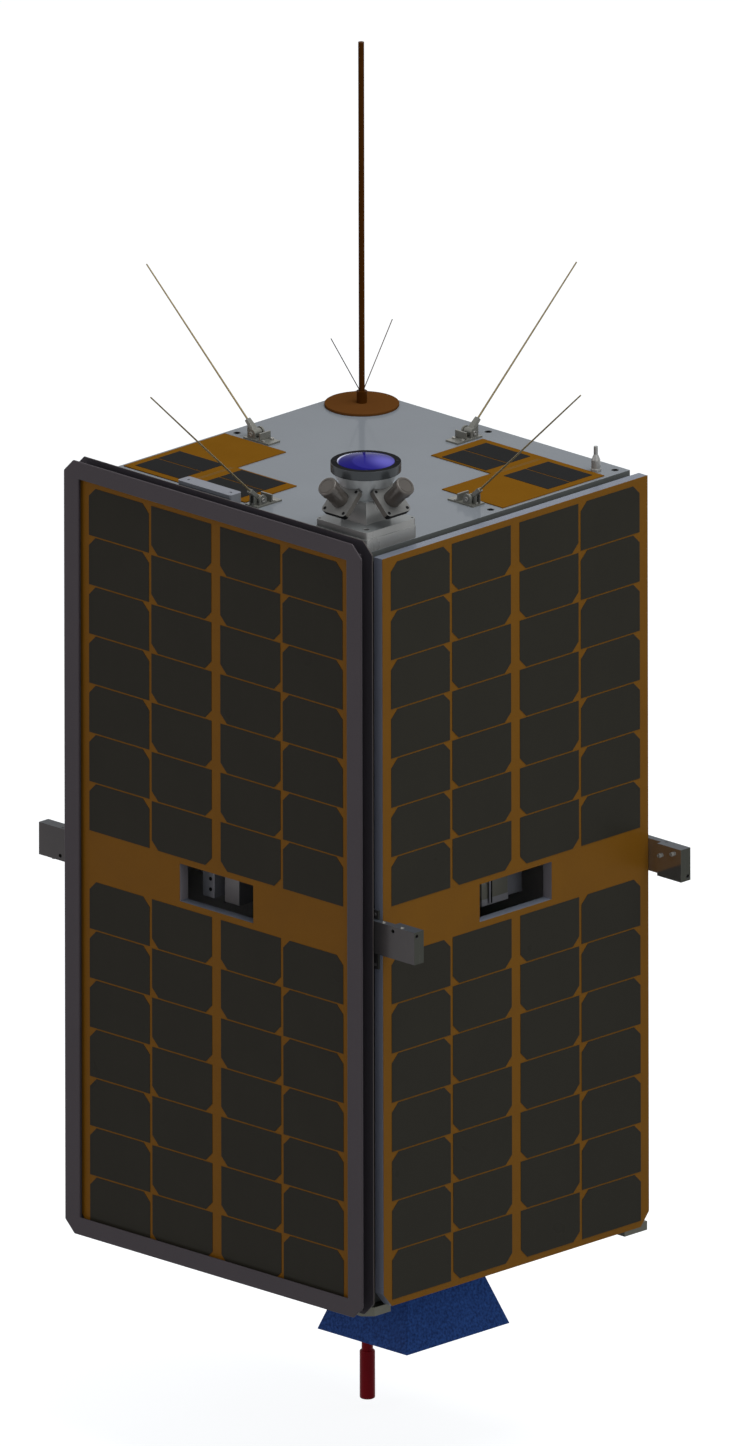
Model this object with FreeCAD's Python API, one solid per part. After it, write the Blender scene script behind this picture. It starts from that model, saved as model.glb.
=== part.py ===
import FreeCAD, Part
import math
import os

# A small box-shaped satellite: two square decks on four corner posts, solar
# panels standing off the posts at the front and the right, plain closing
# panels between the posts at the back and the left, a frame round the front
# panel, a nadir horn and a sleeve antenna below, and a mast, four hinged
# whips, a lens head and two solar sheets on the top deck.
#
# Millimetres. Z is up, front is -Y, right is +X. The origin is the centre of
# the bottom deck's underside.

V = FreeCAD.Vector
os.makedirs("parts", exist_ok=True)

# ---------------------------------------------------------------- sizes
FIT = 0.3                    # clearance round a seated piece

# body
DECK_SIDE = 303.0            # both decks are square
DECK_THICK = 8.0
BODY_TALL = 636.0            # bottom deck underside to top deck face
POST_SIDE = 20.0
DECK_HOLE_R = 2.4
DECK_HOLE_IN = 8.5           # deck edge to the holes at the corners and at mid-edge
FOOT_HOLE_R = 3.3
POST_THREAD_R = 2.0
POST_THREAD_DEEP = 14.0

# side panels
PANEL_GAP = 9.0              # deck edge to the panel's back
PANEL_LAP = 1.0              # panel past the deck's edge on each side
PANEL_SHORT = 0.4            # panel's top below the top deck's face
PANEL_FOOT = 1.2             # panel's foot above the bottom deck's underside
CORE_THICK = 9.5
SKIN_THICK = 0.4
PANEL_CUT_WIDE = 9.5         # sloped lower corners
PANEL_CUT_TALL = 11.5
WINDOW_WIDE = 83.0
WINDOW_TALL = 32.0
RAIL_WIDE = 9.0
RAIL_INSET = 0.5             # rail's edge from the post's inner edge
RAIL_END_GAP = 16.0          # rails stop this far inside the decks

# closing panels between the posts at the back and the left
CLOSING_THICK = 6.0
CLOSING_IN = 0.5             # outer face inside the posts' outer faces
CLOSING_HOLE_R = 1.7
CLOSING_HOLE_EDGE = 6.0      # from the panel's edges
CLOSING_HOLE_ROWS = 7

# solar cells on the side panels
CELL_THICK = 0.3
CELL_WIDE = 67.5
CELL_TALL = 40.4
CELL_CROP = 7.3              # two cropped corners on each cell
CELL_GAP = 2.8               # between the columns on one side of the middle
CELL_ROW_GAP = 1.28
CELL_MID_STRIP = 10.2        # between the inner columns
CELL_BAND = 42.6             # plain band across the middle, with the window
CELL_EDGE = 4.0              # least plain margin at the panel's edges

# frame round the front panel
FRAME_SHY = 2.95             # its side edges inside the side panels' faces
FRAME_ABOVE = 14.7           # above the top deck
FRAME_BELOW = 4.5            # below the bottom deck
FRAME_CUT = 10.5             # sloped corners
FRAME_PLATE = 1.8
FRAME_PROUD = 3.8            # front face ahead of the cells
FRAME_BACK_PLATE = 1.2       # second plate of the same outline, level with the panel's back
FRAME_RING = 3.0             # ring that holds the two apart, round the panel's edge
FRAME_LAP = 1.5              # covers the panel's side edges
FRAME_SILL = 9.3             # covers the panel's foot

# feet
FOOT_SIDE = 26.0
FOOT_TALL = 7.5
FOOT_CUT = 7.5               # the two front feet have a sloped corner

# lugs in the corner gaps, one design: two of the four are turned upside down
LUG_DROP = 2.9               # middle of a lug below the panel's middle
LUG_THICK = 6.0
LUG_PLATE_TALL = 49.8
LUG_PLATE_THICK = 1.7
LUG_PLATE_SHY = 3.7          # plate's outer edge inside the panel's face
LUG_PLATE_SHIFT = 2.6        # plate's middle from the lug's, downwards
LUG_PLATE_HOLES = 42.3       # distance between its two screw holes
LUG_SCREW_R = 1.1            # two screws to the panel's edge and two to the post
LUG_SCREW_IN = 3.5           # outer pair from the plate's outer edge
LUG_ARM_TALL = 27.4
LUG_ARM_SHIFT = 0.9          # arm's middle from the lug's, upwards
LUG_REACH = 41.0             # panel's face to the arm's end
LUG_PAD_LONG = 27.0
LUG_PAD_THICK = 4.9
LUG_PAD_HOLES = ((3.6, -4.2), (17.6, -8.5))   # from the pad's inner end, from the arm's middle
LUG_TAP_R = 1.65             # tapped M4 holes in the arm
LUG_TAP_DEEP = 8.0
LUG_FACE_TAP_IN = 24.1       # hole in the outer face, from the arm's end
LUG_FACE_TAP_UP = 9.6        # above the arm's middle
LUG_END_TAP_UP = 10.0

# horn under the bottom deck
HORN_AT = (53.0, 1.0)
HORN_MOUTH = (101.5, 118.5)
HORN_THROAT = (54.5, 66.0)
HORN_DROP = 76.0             # mouth below the deck
HORN_WALL = 2.5
HORN_ROOF = 6.0
HORN_LAP = 10.75             # flange beyond the throat on every side
HORN_FLANGE_THICK = 4.0
HORN_SCREW_R = 1.7
HORN_SCREW_EDGE = 5.5

# sleeve antenna under the bottom deck
SLEEVE_AT = (-58.0, 61.0)
SLEEVE_R = 6.25
SLEEVE_LONG = 41.0
SLEEVE_END = 176.0           # its tip below the deck
SLEEVE_ROUND = 1.4
STEM_R = 4.65
STEM_FOOT_R = 11.0
STEM_FOOT_TALL = 3.0

# mast on the top deck
MAST_IN = 30.0               # from both deck edges at the back left corner
MAST_DISC_R = 30.2
MAST_DISC_THICK = 2.4
MAST_HUB_R = 4.2
MAST_HUB_TALL = 10.0
MAST_ROD_R = 2.4
MAST_TOP = 307.5             # above the deck
STRAY_WIRE_R = 0.4
STRAY_WIRE_LONG = 65.5
STRAY_WIRE_RISE = 57.4       # degrees
STRAY_WIRE_ROOT = 9.4        # above the deck

# lens head at the front right corner of the top deck
HEAD_IN = 29.9               # its axis from both deck edges
HEAD_SPACER_SIDE = 59.4
HEAD_SPACER_TALL = 10.7
HEAD_SPACER_ROUND = 4.5
HEAD_PLATE_SIDE = 58.2
HEAD_PLATE_TALL = 6.1
HEAD_BOLT_R = 2.6            # over the deck's corner hole
HEAD_SCREW_R = 1.1
HEAD_SCREW_IN = 3.4          # from the spacer's edges
HEAD_BLOCK_SIDE = 28.6
HEAD_BLOCK_TALL = 19.0
CONE_LOW = 33.0              # heights on the head are above the deck
CONE_HIGH_R = 27.0
RING_LOW = 56.8
RING_TALL = 8.0
RING_R = 28.6
LENS_R = 23.2
LENS_RISE = 3.0
LENS_FIT = 0.1
SUN_TILT = 45.0              # plate from level, degrees
SUN_OUT = 29.2               # plate's outer centre from the head's axis
SUN_UP = 38.6                # and above the deck
SUN_PLATE_SIDE = 26.8
SUN_PLATE_THICK = 4.8
SUN_PLATE_ROUND = 3.5
SUN_SCREW_R = 1.0
SUN_SCREW_IN = 3.0
SUN_BARREL_R = 7.4
SUN_BARREL_LONG = 22.5       # with the cap
SUN_CAP_R = 8.4
SUN_CAP_LONG = 7.0
SUN_CAP_ROUND = 1.6
GUSSET_WIDE = 10.0           # rib from the head's block to the plate's back
GUSSET_LOW = 33.0

# whips: hinged rods on the top deck at the middle of each edge
WHIP_RISE = 42.9             # degrees above level, resting on its stop
WHIP_HINGE_IN = 30.0         # hinge from the deck's edge
WHIP_LONG = 168.4            # hinge to tip
WHIP_ROOT_R = 0.85
WHIP_TIP_R = 0.6
WHIP_SEAT = 4.0              # rod's length inside the tongue
TONGUE_LONG = 13.4
TONGUE_WIDE = 6.2
TONGUE_END_WIDE = 4.0
TONGUE_THICK = 3.4
HUB_R = 3.4
HUB_WIDE = 7.6
HUB_CLEAR = 0.4              # hub above the foot plate
PIN_R = 1.0
PIN_FIT = 0.05
CHEEK_THICK = 1.5
CHEEK_GAP = 0.35             # hub's side to the cheek
CHEEK_RIM = 0.8              # cheek's edge beyond the hub
FOOT_PLATE_IN = 20.5         # foot plate's ends, inside and outside the hinge
FOOT_PLATE_OUT = 8.0
FOOT_PLATE_WIDE = 13.6
FOOT_PLATE_THICK = 1.5
FOOT_WALL_IN = 9.0           # upright wall, inside the hinge
FOOT_WALL_THICK = 1.5
FOOT_WALL_WIDE = 12.2
FOOT_WALL_TALL = 7.8
FOOT_SCREW_R = 1.1
FOOT_SCREW_EDGE = 1.9        # from the foot plate's long edges
FOOT_SCREW_IN = 13.0         # inner pair, inside the hinge
FOOT_SCREW_OUT = 5.4         # outer one, outside it
STOP_GAP = 0.5               # stop ribs from the screw hole and from the hub
STOP_RIB_WIDE = 1.0
SINK = 0.2                   # how far fused pieces run into each other

# solar sheets on the top deck, L-shaped, each with up to four cells
SHEET_THICK = 0.8
SHEET_CELL_THICK = 0.3
SHEET_SIDE_IN = 3.5          # from the deck's side edge
SHEET_END_IN = 26.0          # from the deck's front or back edge
SHEET_WHIP_GAP = (4.2, 2.2)  # from the two whips beside it
SHEET_CELL = (50.0, 24.8)
SHEET_CELL_GAP = (20.0, 1.4)
SHEET_MARGIN = (7.0, 10.0, 6.5, 2.0)    # left, right, front, back of the cells
SHEET_LEG_MARGIN = 12.0      # right of the cells, on the leg of the L

# small stub antenna and the block at the front edge
STUB_IN = (17.9, 21.0)       # from the deck's right and back edges
# its steps from the deck up: height, radius at the foot, radius at the top
STUB_STEPS = ((2.4, 4.4, 4.3), (7.4, 3.8, 3.6), (4.2, 3.6, 1.9), (7.0, 1.75, 1.7))
EDGE_BLOCK = (60.0, 13.5, 9.9)
EDGE_BLOCK_IN = 9.7          # from the deck's front edge
EDGE_BLOCK_WHIP_GAP = 4.7    # from the front whip's foot plate
EDGE_BLOCK_ROUND = 2.5
EDGE_BLOCK_HOLE_R = 1.3
EDGE_BLOCK_HOLE_IN = 6.2
EDGE_BLOCK_HOLE_DEEP = 6.0
GROOVE_UP = (3.0, 5.8)       # grooves along its front face
GROOVE_TALL = 1.2
GROOVE_DEEP = 0.8

# equipment seen through the panel windows
SHELF_ABOVE = 19.0           # above the windows' heads
SHELF_THICK = 6.0
BATTERY = (190.0, 190.0, 230.0)
# boxes hung under the shelf at the front: left, right, behind the deck's edge
# from and to, below the window's sill
FRONT_BOXES = ((-43.3, -30.3, 9.5, 39.5, 2.0), (-18.6, -2.2, 9.5, 31.5, 2.0))
# and at the right: front, back, inside the deck's edge from and to, below the sill
RIGHT_BOXES = ((0.0, 30.0, 19.5, 39.5, 2.0), (30.5, 50.5, 23.5, 49.5, 2.2))

# ---------------------------------------------------------------- derived
TOP = BODY_TALL
HALF = DECK_SIDE / 2
POST_IN = HALF - POST_SIDE
HOLE_AT = HALF - DECK_HOLE_IN
PANEL_WIDE = DECK_SIDE + 2 * PANEL_LAP
PANEL_TOP = BODY_TALL - PANEL_SHORT
PANEL_TALL = PANEL_TOP - PANEL_FOOT
PANEL_BACK = HALF + PANEL_GAP
SKIN_BACK = PANEL_BACK + CORE_THICK
CELL_BACK = SKIN_BACK + SKIN_THICK
CELL_FACE = CELL_BACK + CELL_THICK
WINDOW_MID = PANEL_FOOT + PANEL_TALL / 2
FRAME_FRONT = CELL_FACE + FRAME_PROUD
FRAME_PLATE_BACK = FRAME_FRONT - FRAME_PLATE
MAST_AT = (-HALF + MAST_IN, HALF - MAST_IN)
HEAD_AT = (HALF - HEAD_IN, -HALF + HEAD_IN)
HEAD_BASE_TALL = HEAD_SPACER_TALL + HEAD_PLATE_TALL
HINGE_AT = (HALF - WHIP_HINGE_IN, TOP + FOOT_PLATE_THICK + HUB_CLEAR + HUB_R)
QUARTERS = (("front", 0), ("right", 90), ("back", 180), ("left", 270))
SOLAR_SIDES = QUARTERS[:2]
CLOSED_SIDES = QUARTERS[2:]
CLOSING_BACK = HALF - CLOSING_IN - CLOSING_THICK


# ---------------------------------------------------------------- helpers
def save(node, *solids):
    """Write one node; several solids stay apart in one file."""
    shape = solids[0] if len(solids) == 1 else Part.makeCompound(list(solids))
    shape.exportStep("parts/" + node + ".step")


def box(x0, x1, y0, y1, z0, z1):
    return Part.makeBox(x1 - x0, y1 - y0, z1 - z0, V(x0, y0, z0))


def plate(wide, deep, z0, z1, at=(0.0, 0.0)):
    """A box centred on `at` seen from above."""
    return box(at[0] - wide / 2, at[0] + wide / 2, at[1] - deep / 2, at[1] + deep / 2, z0, z1)


def rod(radius, start, along, length):
    return Part.makeCylinder(radius, length, V(*start), V(*along))


def prism(points, along):
    """Extrude the closed outline of 3-D points."""
    outline = Part.makePolygon([V(*p) for p in points] + [V(*points[0])])
    return Part.Face(outline).extrude(V(*along))


def turned(shape, degrees, about=(0.0, 0.0)):
    copy = shape.copy()
    copy.rotate(V(about[0], about[1], 0), V(0, 0, 1), degrees)
    return copy


def round_uprights(shape, radius):
    """Round the vertical edges."""
    edges = [e for e in shape.Edges
             if abs(e.Vertexes[0].Point.z - e.Vertexes[-1].Point.z) > radius]
    return shape.makeFillet(radius, edges)


def corners(half):
    return [(sx * half, sy * half) for sx in (-1, 1) for sy in (-1, 1)]


# ---------------------------------------------------------------- decks, posts, feet
def deck_holes():
    middle = [(HOLE_AT, 0), (-HOLE_AT, 0), (0, HOLE_AT), (0, -HOLE_AT)]
    return corners(HOLE_AT) + middle


def make_decks():
    top = plate(DECK_SIDE, DECK_SIDE, TOP - DECK_THICK, TOP)
    for x, y in deck_holes():
        top = top.cut(rod(DECK_HOLE_R, (x, y, TOP - DECK_THICK), (0, 0, 1), DECK_THICK))
    save("top_deck", top)
    bottom = plate(DECK_SIDE, DECK_SIDE, 0, DECK_THICK)
    for x, y in corners(HOLE_AT):
        bottom = bottom.cut(rod(FOOT_HOLE_R, (x, y, 0), (0, 0, 1), DECK_THICK))
    save("bottom_deck", bottom)


def make_posts():
    posts = []
    for x, y in corners(HALF - POST_SIDE / 2):
        hx = math.copysign(HOLE_AT, x)
        hy = math.copysign(HOLE_AT, y)
        post = plate(POST_SIDE, POST_SIDE, DECK_THICK, TOP - DECK_THICK, (x, y))
        for z in (DECK_THICK, TOP - DECK_THICK - POST_THREAD_DEEP):
            post = post.cut(rod(POST_THREAD_R, (hx, hy, z), (0, 0, 1), POST_THREAD_DEEP))
        posts.append(post)
    save("corner_posts", *posts)


def make_feet():
    out = PANEL_BACK
    feet = []
    for sx, sy in corners(1):
        lo, hi = out - FOOT_SIDE, out
        outline = [(lo, lo), (hi, lo), (hi, hi), (lo, hi)]
        if sy < 0:
            outline = [(lo, lo), (hi, lo), (hi, hi - FOOT_CUT), (hi - FOOT_CUT, hi), (lo, hi)]
        foot = prism([(sx * x, sy * y, -FOOT_TALL) for x, y in outline], (0, 0, FOOT_TALL))
        at = (sx * HOLE_AT, sy * HOLE_AT, -FOOT_TALL)
        feet.append(foot.cut(rod(FOOT_HOLE_R, at, (0, 0, 1), FOOT_TALL)))
    save("feet", *feet)


# ---------------------------------------------------------------- side panels
def panel_sheet(y_back, thick):
    """One sheet of the front panel between two depths, with the window cut."""
    half = PANEL_WIDE / 2
    cut_top = PANEL_FOOT + PANEL_CUT_TALL
    outline = [
        (-half, PANEL_TOP), (half, PANEL_TOP), (half, cut_top), (half - PANEL_CUT_WIDE, PANEL_FOOT),
        (-half + PANEL_CUT_WIDE, PANEL_FOOT), (-half, cut_top),
    ]
    sheet = prism([(x, -y_back, z) for x, z in outline], (0, -thick, 0))
    window = box(-WINDOW_WIDE / 2, WINDOW_WIDE / 2, -y_back - thick, -y_back,
                 WINDOW_MID - WINDOW_TALL / 2, WINDOW_MID + WINDOW_TALL / 2)
    return sheet.cut(window)


def solar_cell(left, low, crop_top):
    """A cell with both top or both bottom corners cropped."""
    right, high = left + CELL_WIDE, low + CELL_TALL
    if crop_top:
        outline = [(left, low), (right, low), (right, high - CELL_CROP), (right - CELL_CROP, high),
                   (left + CELL_CROP, high), (left, high - CELL_CROP)]
    else:
        outline = [(left, high), (right, high), (right, low + CELL_CROP), (right - CELL_CROP, low),
                   (left + CELL_CROP, low), (left, low + CELL_CROP)]
    return prism([(x, -CELL_BACK, z) for x, z in outline], (0, -CELL_THICK, 0))


def panel_cells():
    """As many whole cells as fit round the window band and inside the margins."""
    inner = CELL_MID_STRIP / 2
    pitch = CELL_WIDE + CELL_GAP
    row_pitch = CELL_TALL + CELL_ROW_GAP
    columns = int((PANEL_WIDE / 2 - CELL_EDGE - inner + CELL_GAP) / pitch)
    rows = int((PANEL_TALL / 2 - CELL_EDGE - CELL_BAND / 2 + CELL_ROW_GAP) / row_pitch)
    group = rows * row_pitch - CELL_ROW_GAP
    starts = (WINDOW_MID + CELL_BAND / 2, WINDOW_MID - CELL_BAND / 2 - group)
    cells = []
    for column in range(columns):
        out = inner + column * pitch
        crop_top = column % 2 == 1
        for left in (out, -out - CELL_WIDE):
            cells += [solar_cell(left, start + row * row_pitch, crop_top)
                      for start in starts for row in range(rows)]
    return cells


def make_panels():
    core = panel_sheet(PANEL_BACK, CORE_THICK)
    skin = panel_sheet(SKIN_BACK, SKIN_THICK)
    cells = panel_cells()
    rail_z = (DECK_THICK + RAIL_END_GAP, TOP - DECK_THICK - RAIL_END_GAP)
    x0 = POST_IN + RAIL_INSET
    rails = [box(x0, x0 + RAIL_WIDE, -PANEL_BACK, -HALF, *rail_z),
             box(-x0 - RAIL_WIDE, -x0, -PANEL_BACK, -HALF, *rail_z)]
    all_rails = []
    for side, angle in SOLAR_SIDES:
        save("panel_core_" + side, turned(core, angle))
        save("panel_skin_" + side, turned(skin, angle))
        save("solar_cells_" + side, *[turned(cell, angle) for cell in cells])
        all_rails += [turned(rail, angle) for rail in rails]
    save("panel_rails", *all_rails)


def make_closing_panels():
    """Plain plates between the posts and the decks, screwed on along their upright edges."""
    half = POST_IN - FIT
    low, high = DECK_THICK + FIT, BODY_TALL - DECK_THICK - FIT
    panel = box(-half, half, -CLOSING_BACK - CLOSING_THICK, -CLOSING_BACK, low, high)
    step = (high - low - 2 * CLOSING_HOLE_EDGE) / (CLOSING_HOLE_ROWS - 1)
    for row in range(CLOSING_HOLE_ROWS):
        z = low + CLOSING_HOLE_EDGE + row * step
        for x in (-half + CLOSING_HOLE_EDGE, half - CLOSING_HOLE_EDGE):
            at = (x, -CLOSING_BACK - CLOSING_THICK, z)
            panel = panel.cut(rod(CLOSING_HOLE_R, at, (0, 1, 0), CLOSING_THICK))
    for side, angle in CLOSED_SIDES:
        save("closing_panel_" + side, turned(panel, angle))


# ---------------------------------------------------------------- front frame
def frame_outline(y):
    half, low, high = CELL_FACE - FRAME_SHY, -FRAME_BELOW, BODY_TALL + FRAME_ABOVE
    cut = FRAME_CUT
    points = [(-half, low + cut), (-half + cut, low), (half - cut, low), (half, low + cut),
              (half, high - cut), (half - cut, high), (-half + cut, high), (-half, high - cut)]
    return [(x, y, z) for x, z in points]


def make_front_frame():
    front = prism(frame_outline(-FRAME_FRONT), (0, FRAME_PLATE, 0))
    half = PANEL_WIDE / 2 - FRAME_LAP
    opening = box(-half, half, -FRAME_FRONT, -FRAME_PLATE_BACK,
                  PANEL_FOOT + FRAME_SILL, PANEL_TOP)
    save("front_frame", front.cut(opening))
    # round the panel's edge: a narrow ring, then the back plate
    ring_back = -PANEL_BACK - FRAME_BACK_PLATE
    half, low, high = PANEL_WIDE / 2 + FIT, PANEL_FOOT - FIT, PANEL_TOP + FIT
    ring = box(-half - FRAME_RING, half + FRAME_RING, -FRAME_PLATE_BACK, ring_back,
               low - FRAME_RING, high + FRAME_RING)
    band = ring.fuse(prism(frame_outline(ring_back), (0, FRAME_BACK_PLATE, 0)))
    inside = box(-half, half, -FRAME_PLATE_BACK, -PANEL_BACK, low, high)
    save("front_frame_band", band.cut(inside).removeSplitter())


# ---------------------------------------------------------------- side lugs
def make_lugs():
    """Each lug is a plate on the post, an arm out past the side, and a pad."""
    arms, pads = [], []
    y0 = PANEL_WIDE / 2 + FIT
    y1 = y0 + LUG_THICK
    seat_x = POST_IN + RAIL_INSET + RAIL_WIDE + FIT
    plate_x = CELL_FACE - LUG_PLATE_SHY
    screw_xs = (plate_x - LUG_SCREW_IN, (seat_x + HALF) / 2)
    end_x = CELL_FACE + LUG_REACH
    pad_x = end_x - LUG_PAD_LONG
    # side of the body, front or back, right way up or upside down
    for sx, sy, up in ((-1, -1, -1), (-1, 1, 1), (1, -1, 1), (1, 1, -1)):
        middle = WINDOW_MID - LUG_DROP
        arm_z = middle + up * LUG_ARM_SHIFT
        plate_z = middle - up * LUG_PLATE_SHIFT

        def block(x0, x1, near, far, z, tall):
            xs, ys = sorted((sx * x0, sx * x1)), sorted((sy * near, sy * far))
            return box(*xs, *ys, z - tall / 2, z + tall / 2)

        def hole(radius, x, y, z, length, along=(0, 1, 0)):
            return rod(radius, (sx * x, sy * y, z), (sx * along[0], sy * along[1], 0), length)

        seat = block(seat_x, HALF, HALF, y0, plate_z, LUG_PLATE_TALL)
        plate_piece = block(seat_x, plate_x, y0, y0 + LUG_PLATE_THICK, plate_z, LUG_PLATE_TALL)
        arm = block(seat_x, end_x, y0, y1, arm_z, LUG_ARM_TALL)
        arm = arm.fuse([seat, plate_piece]).removeSplitter()
        for z in (plate_z - LUG_PLATE_HOLES / 2, plate_z + LUG_PLATE_HOLES / 2):
            for x in screw_xs:
                arm = arm.cut(hole(LUG_SCREW_R, x, HALF, z, y1 - HALF))
        face_z = arm_z + up * LUG_FACE_TAP_UP
        arm = arm.cut(hole(LUG_TAP_R, end_x - LUG_FACE_TAP_IN, y0, face_z, LUG_THICK))
        end_z = arm_z + up * LUG_END_TAP_UP
        arm = arm.cut(hole(LUG_TAP_R, end_x - LUG_TAP_DEEP, (y0 + y1) / 2, end_z, LUG_TAP_DEEP,
                           (1, 0)))
        pad = block(pad_x, end_x, y0 - LUG_PAD_THICK, y0, arm_z, LUG_ARM_TALL)
        for along, rise in LUG_PAD_HOLES:
            pad = pad.cut(hole(LUG_SCREW_R, pad_x + along, y0 - LUG_PAD_THICK, arm_z + up * rise,
                               LUG_PAD_THICK))
        arms.append(arm)
        pads.append(pad)
    save("lug_arms", *arms)
    save("lug_pads", *pads)


# ---------------------------------------------------------------- underside
def rectangle(size, z):
    a, b = size[0] / 2, size[1] / 2
    x, y = HORN_AT
    points = [(x - a, y - b), (x + a, y - b), (x + a, y + b), (x - a, y + b), (x - a, y - b)]
    return Part.makePolygon([V(px, py, z) for px, py in points])


def make_horn():
    wide, deep = (size + 2 * HORN_LAP for size in HORN_THROAT)
    thick = HORN_FLANGE_THICK
    flange = plate(wide, deep, -thick, 0, HORN_AT)
    for sx, sy in corners(1):
        at = (HORN_AT[0] + sx * (wide / 2 - HORN_SCREW_EDGE),
              HORN_AT[1] + sy * (deep / 2 - HORN_SCREW_EDGE), -thick)
        flange = flange.cut(rod(HORN_SCREW_R, at, (0, 0, 1), thick))
    save("horn_flange", flange)
    outer = Part.makeLoft([rectangle(HORN_THROAT, -thick), rectangle(HORN_MOUTH, -HORN_DROP)],
                          True, True)
    # inner faces lie one wall inside the outer ones
    tall = HORN_DROP - thick
    def inner_size(below):
        return [t + (m - t) * below / tall - 2 * HORN_WALL
                for t, m in zip(HORN_THROAT, HORN_MOUTH)]
    past = tall + HORN_WALL     # the cut runs out past the mouth
    inner = Part.makeLoft([rectangle(inner_size(HORN_ROOF), -thick - HORN_ROOF),
                           rectangle(inner_size(past), -thick - past)], True, True)
    save("nadir_horn", outer.cut(inner))


def make_sleeve_antenna():
    x, y = SLEEVE_AT
    foot = rod(STEM_FOOT_R, (x, y, -STEM_FOOT_TALL), (0, 0, 1), STEM_FOOT_TALL)
    stem_low = -SLEEVE_END + SLEEVE_LONG
    stem = rod(STEM_R, (x, y, stem_low), (0, 0, 1), -STEM_FOOT_TALL - stem_low)
    save("sleeve_antenna_stem", foot.fuse(stem).removeSplitter())
    sleeve = rod(SLEEVE_R, (x, y, -SLEEVE_END), (0, 0, 1), SLEEVE_LONG)
    ends = [e for e in sleeve.Edges if isinstance(e.Curve, Part.Circle)]
    save("sleeve_antenna_tip", sleeve.makeFillet(SLEEVE_ROUND, ends))


# ---------------------------------------------------------------- mast
def make_mast():
    x, y = MAST_AT
    disc = rod(MAST_DISC_R, (x, y, TOP), (0, 0, 1), MAST_DISC_THICK)
    save("mast_disc", disc)
    hub_low = TOP + MAST_DISC_THICK
    hub = rod(MAST_HUB_R, (x, y, hub_low), (0, 0, 1), MAST_HUB_TALL)
    mast_low = hub_low + MAST_HUB_TALL
    mast = hub.fuse(rod(MAST_ROD_R, (x, y, mast_low), (0, 0, 1), TOP + MAST_TOP - mast_low))
    save("mast_rod", mast.removeSplitter())
    rise = math.radians(STRAY_WIRE_RISE)
    wires = []
    for side in (-1, 1):
        start = (x, y, TOP + STRAY_WIRE_ROOT)
        along = (0, side * math.cos(rise), math.sin(rise))
        wires.append(rod(STRAY_WIRE_R, start, along, STRAY_WIRE_LONG).cut(mast))
    save("mast_wires", *wires)


# ---------------------------------------------------------------- lens head
def sun_frame(angle):
    """Placement from the sun sensor plate's own axes to its place on the head."""
    seat = FreeCAD.Placement(V(SUN_OUT, 0, SUN_UP), FreeCAD.Rotation(V(0, 1, 0), SUN_TILT))
    spin = FreeCAD.Placement(V(HEAD_AT[0], HEAD_AT[1], TOP), FreeCAD.Rotation(V(0, 0, 1), angle))
    return spin.multiply(seat)


def make_head_base():
    x, y = HEAD_AT
    low, middle, high = TOP, TOP + HEAD_SPACER_TALL, TOP + HEAD_BASE_TALL
    spacer = plate(HEAD_SPACER_SIDE, HEAD_SPACER_SIDE, low, middle, HEAD_AT)
    upper = plate(HEAD_PLATE_SIDE, HEAD_PLATE_SIDE, middle, high, HEAD_AT)
    edge = (HEAD_SPACER_SIDE - HEAD_PLATE_SIDE) / 2
    base = round_uprights(spacer, HEAD_SPACER_ROUND).fuse(
        round_uprights(upper, HEAD_SPACER_ROUND - edge))
    base = base.cut(rod(HEAD_BOLT_R, (HOLE_AT, -HOLE_AT, low), (0, 0, 1), HEAD_BASE_TALL))
    at = HEAD_SPACER_SIDE / 2 - HEAD_SCREW_IN
    for sx, sy in ((-at, -at), (-at, at), (at, at)):
        base = base.cut(rod(HEAD_SCREW_R, (x + sx, y + sy, low), (0, 0, 1), HEAD_BASE_TALL))
    save("lens_head_base", base)


def sun_gusset():
    """Rib from the head's block to the upper half of the plate that faces +X."""
    tilt = math.radians(SUN_TILT)
    back_out = SUN_OUT - SUN_PLATE_THICK * math.sin(tilt)
    back_up = SUN_UP - SUN_PLATE_THICK * math.cos(tilt)
    low_out = back_out + (back_up - GUSSET_LOW) / math.tan(tilt)
    reach = SUN_PLATE_SIDE / 2
    high_out, high_up = back_out - reach * math.cos(tilt), back_up + reach * math.sin(tilt)
    profile = [(0, GUSSET_LOW), (low_out, GUSSET_LOW), (high_out, high_up), (0, high_up)]
    return prism([(HEAD_AT[0] + out, HEAD_AT[1] - GUSSET_WIDE / 2, TOP + up)
                  for out, up in profile], (0, GUSSET_WIDE, 0))


def sun_barrel():
    """Tube and rounded cap, along +Z from the plate's face."""
    tube = rod(SUN_BARREL_R, (0, 0, 0), (0, 0, 1), SUN_BARREL_LONG - SUN_CAP_LONG)
    cap = rod(SUN_CAP_R, (0, 0, SUN_BARREL_LONG - SUN_CAP_LONG), (0, 0, 1), SUN_CAP_LONG)
    end = [e for e in cap.Edges if e.BoundBox.ZMin > SUN_BARREL_LONG - FIT]
    return tube.fuse(cap.makeFillet(SUN_CAP_ROUND, end)).removeSplitter()


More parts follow.
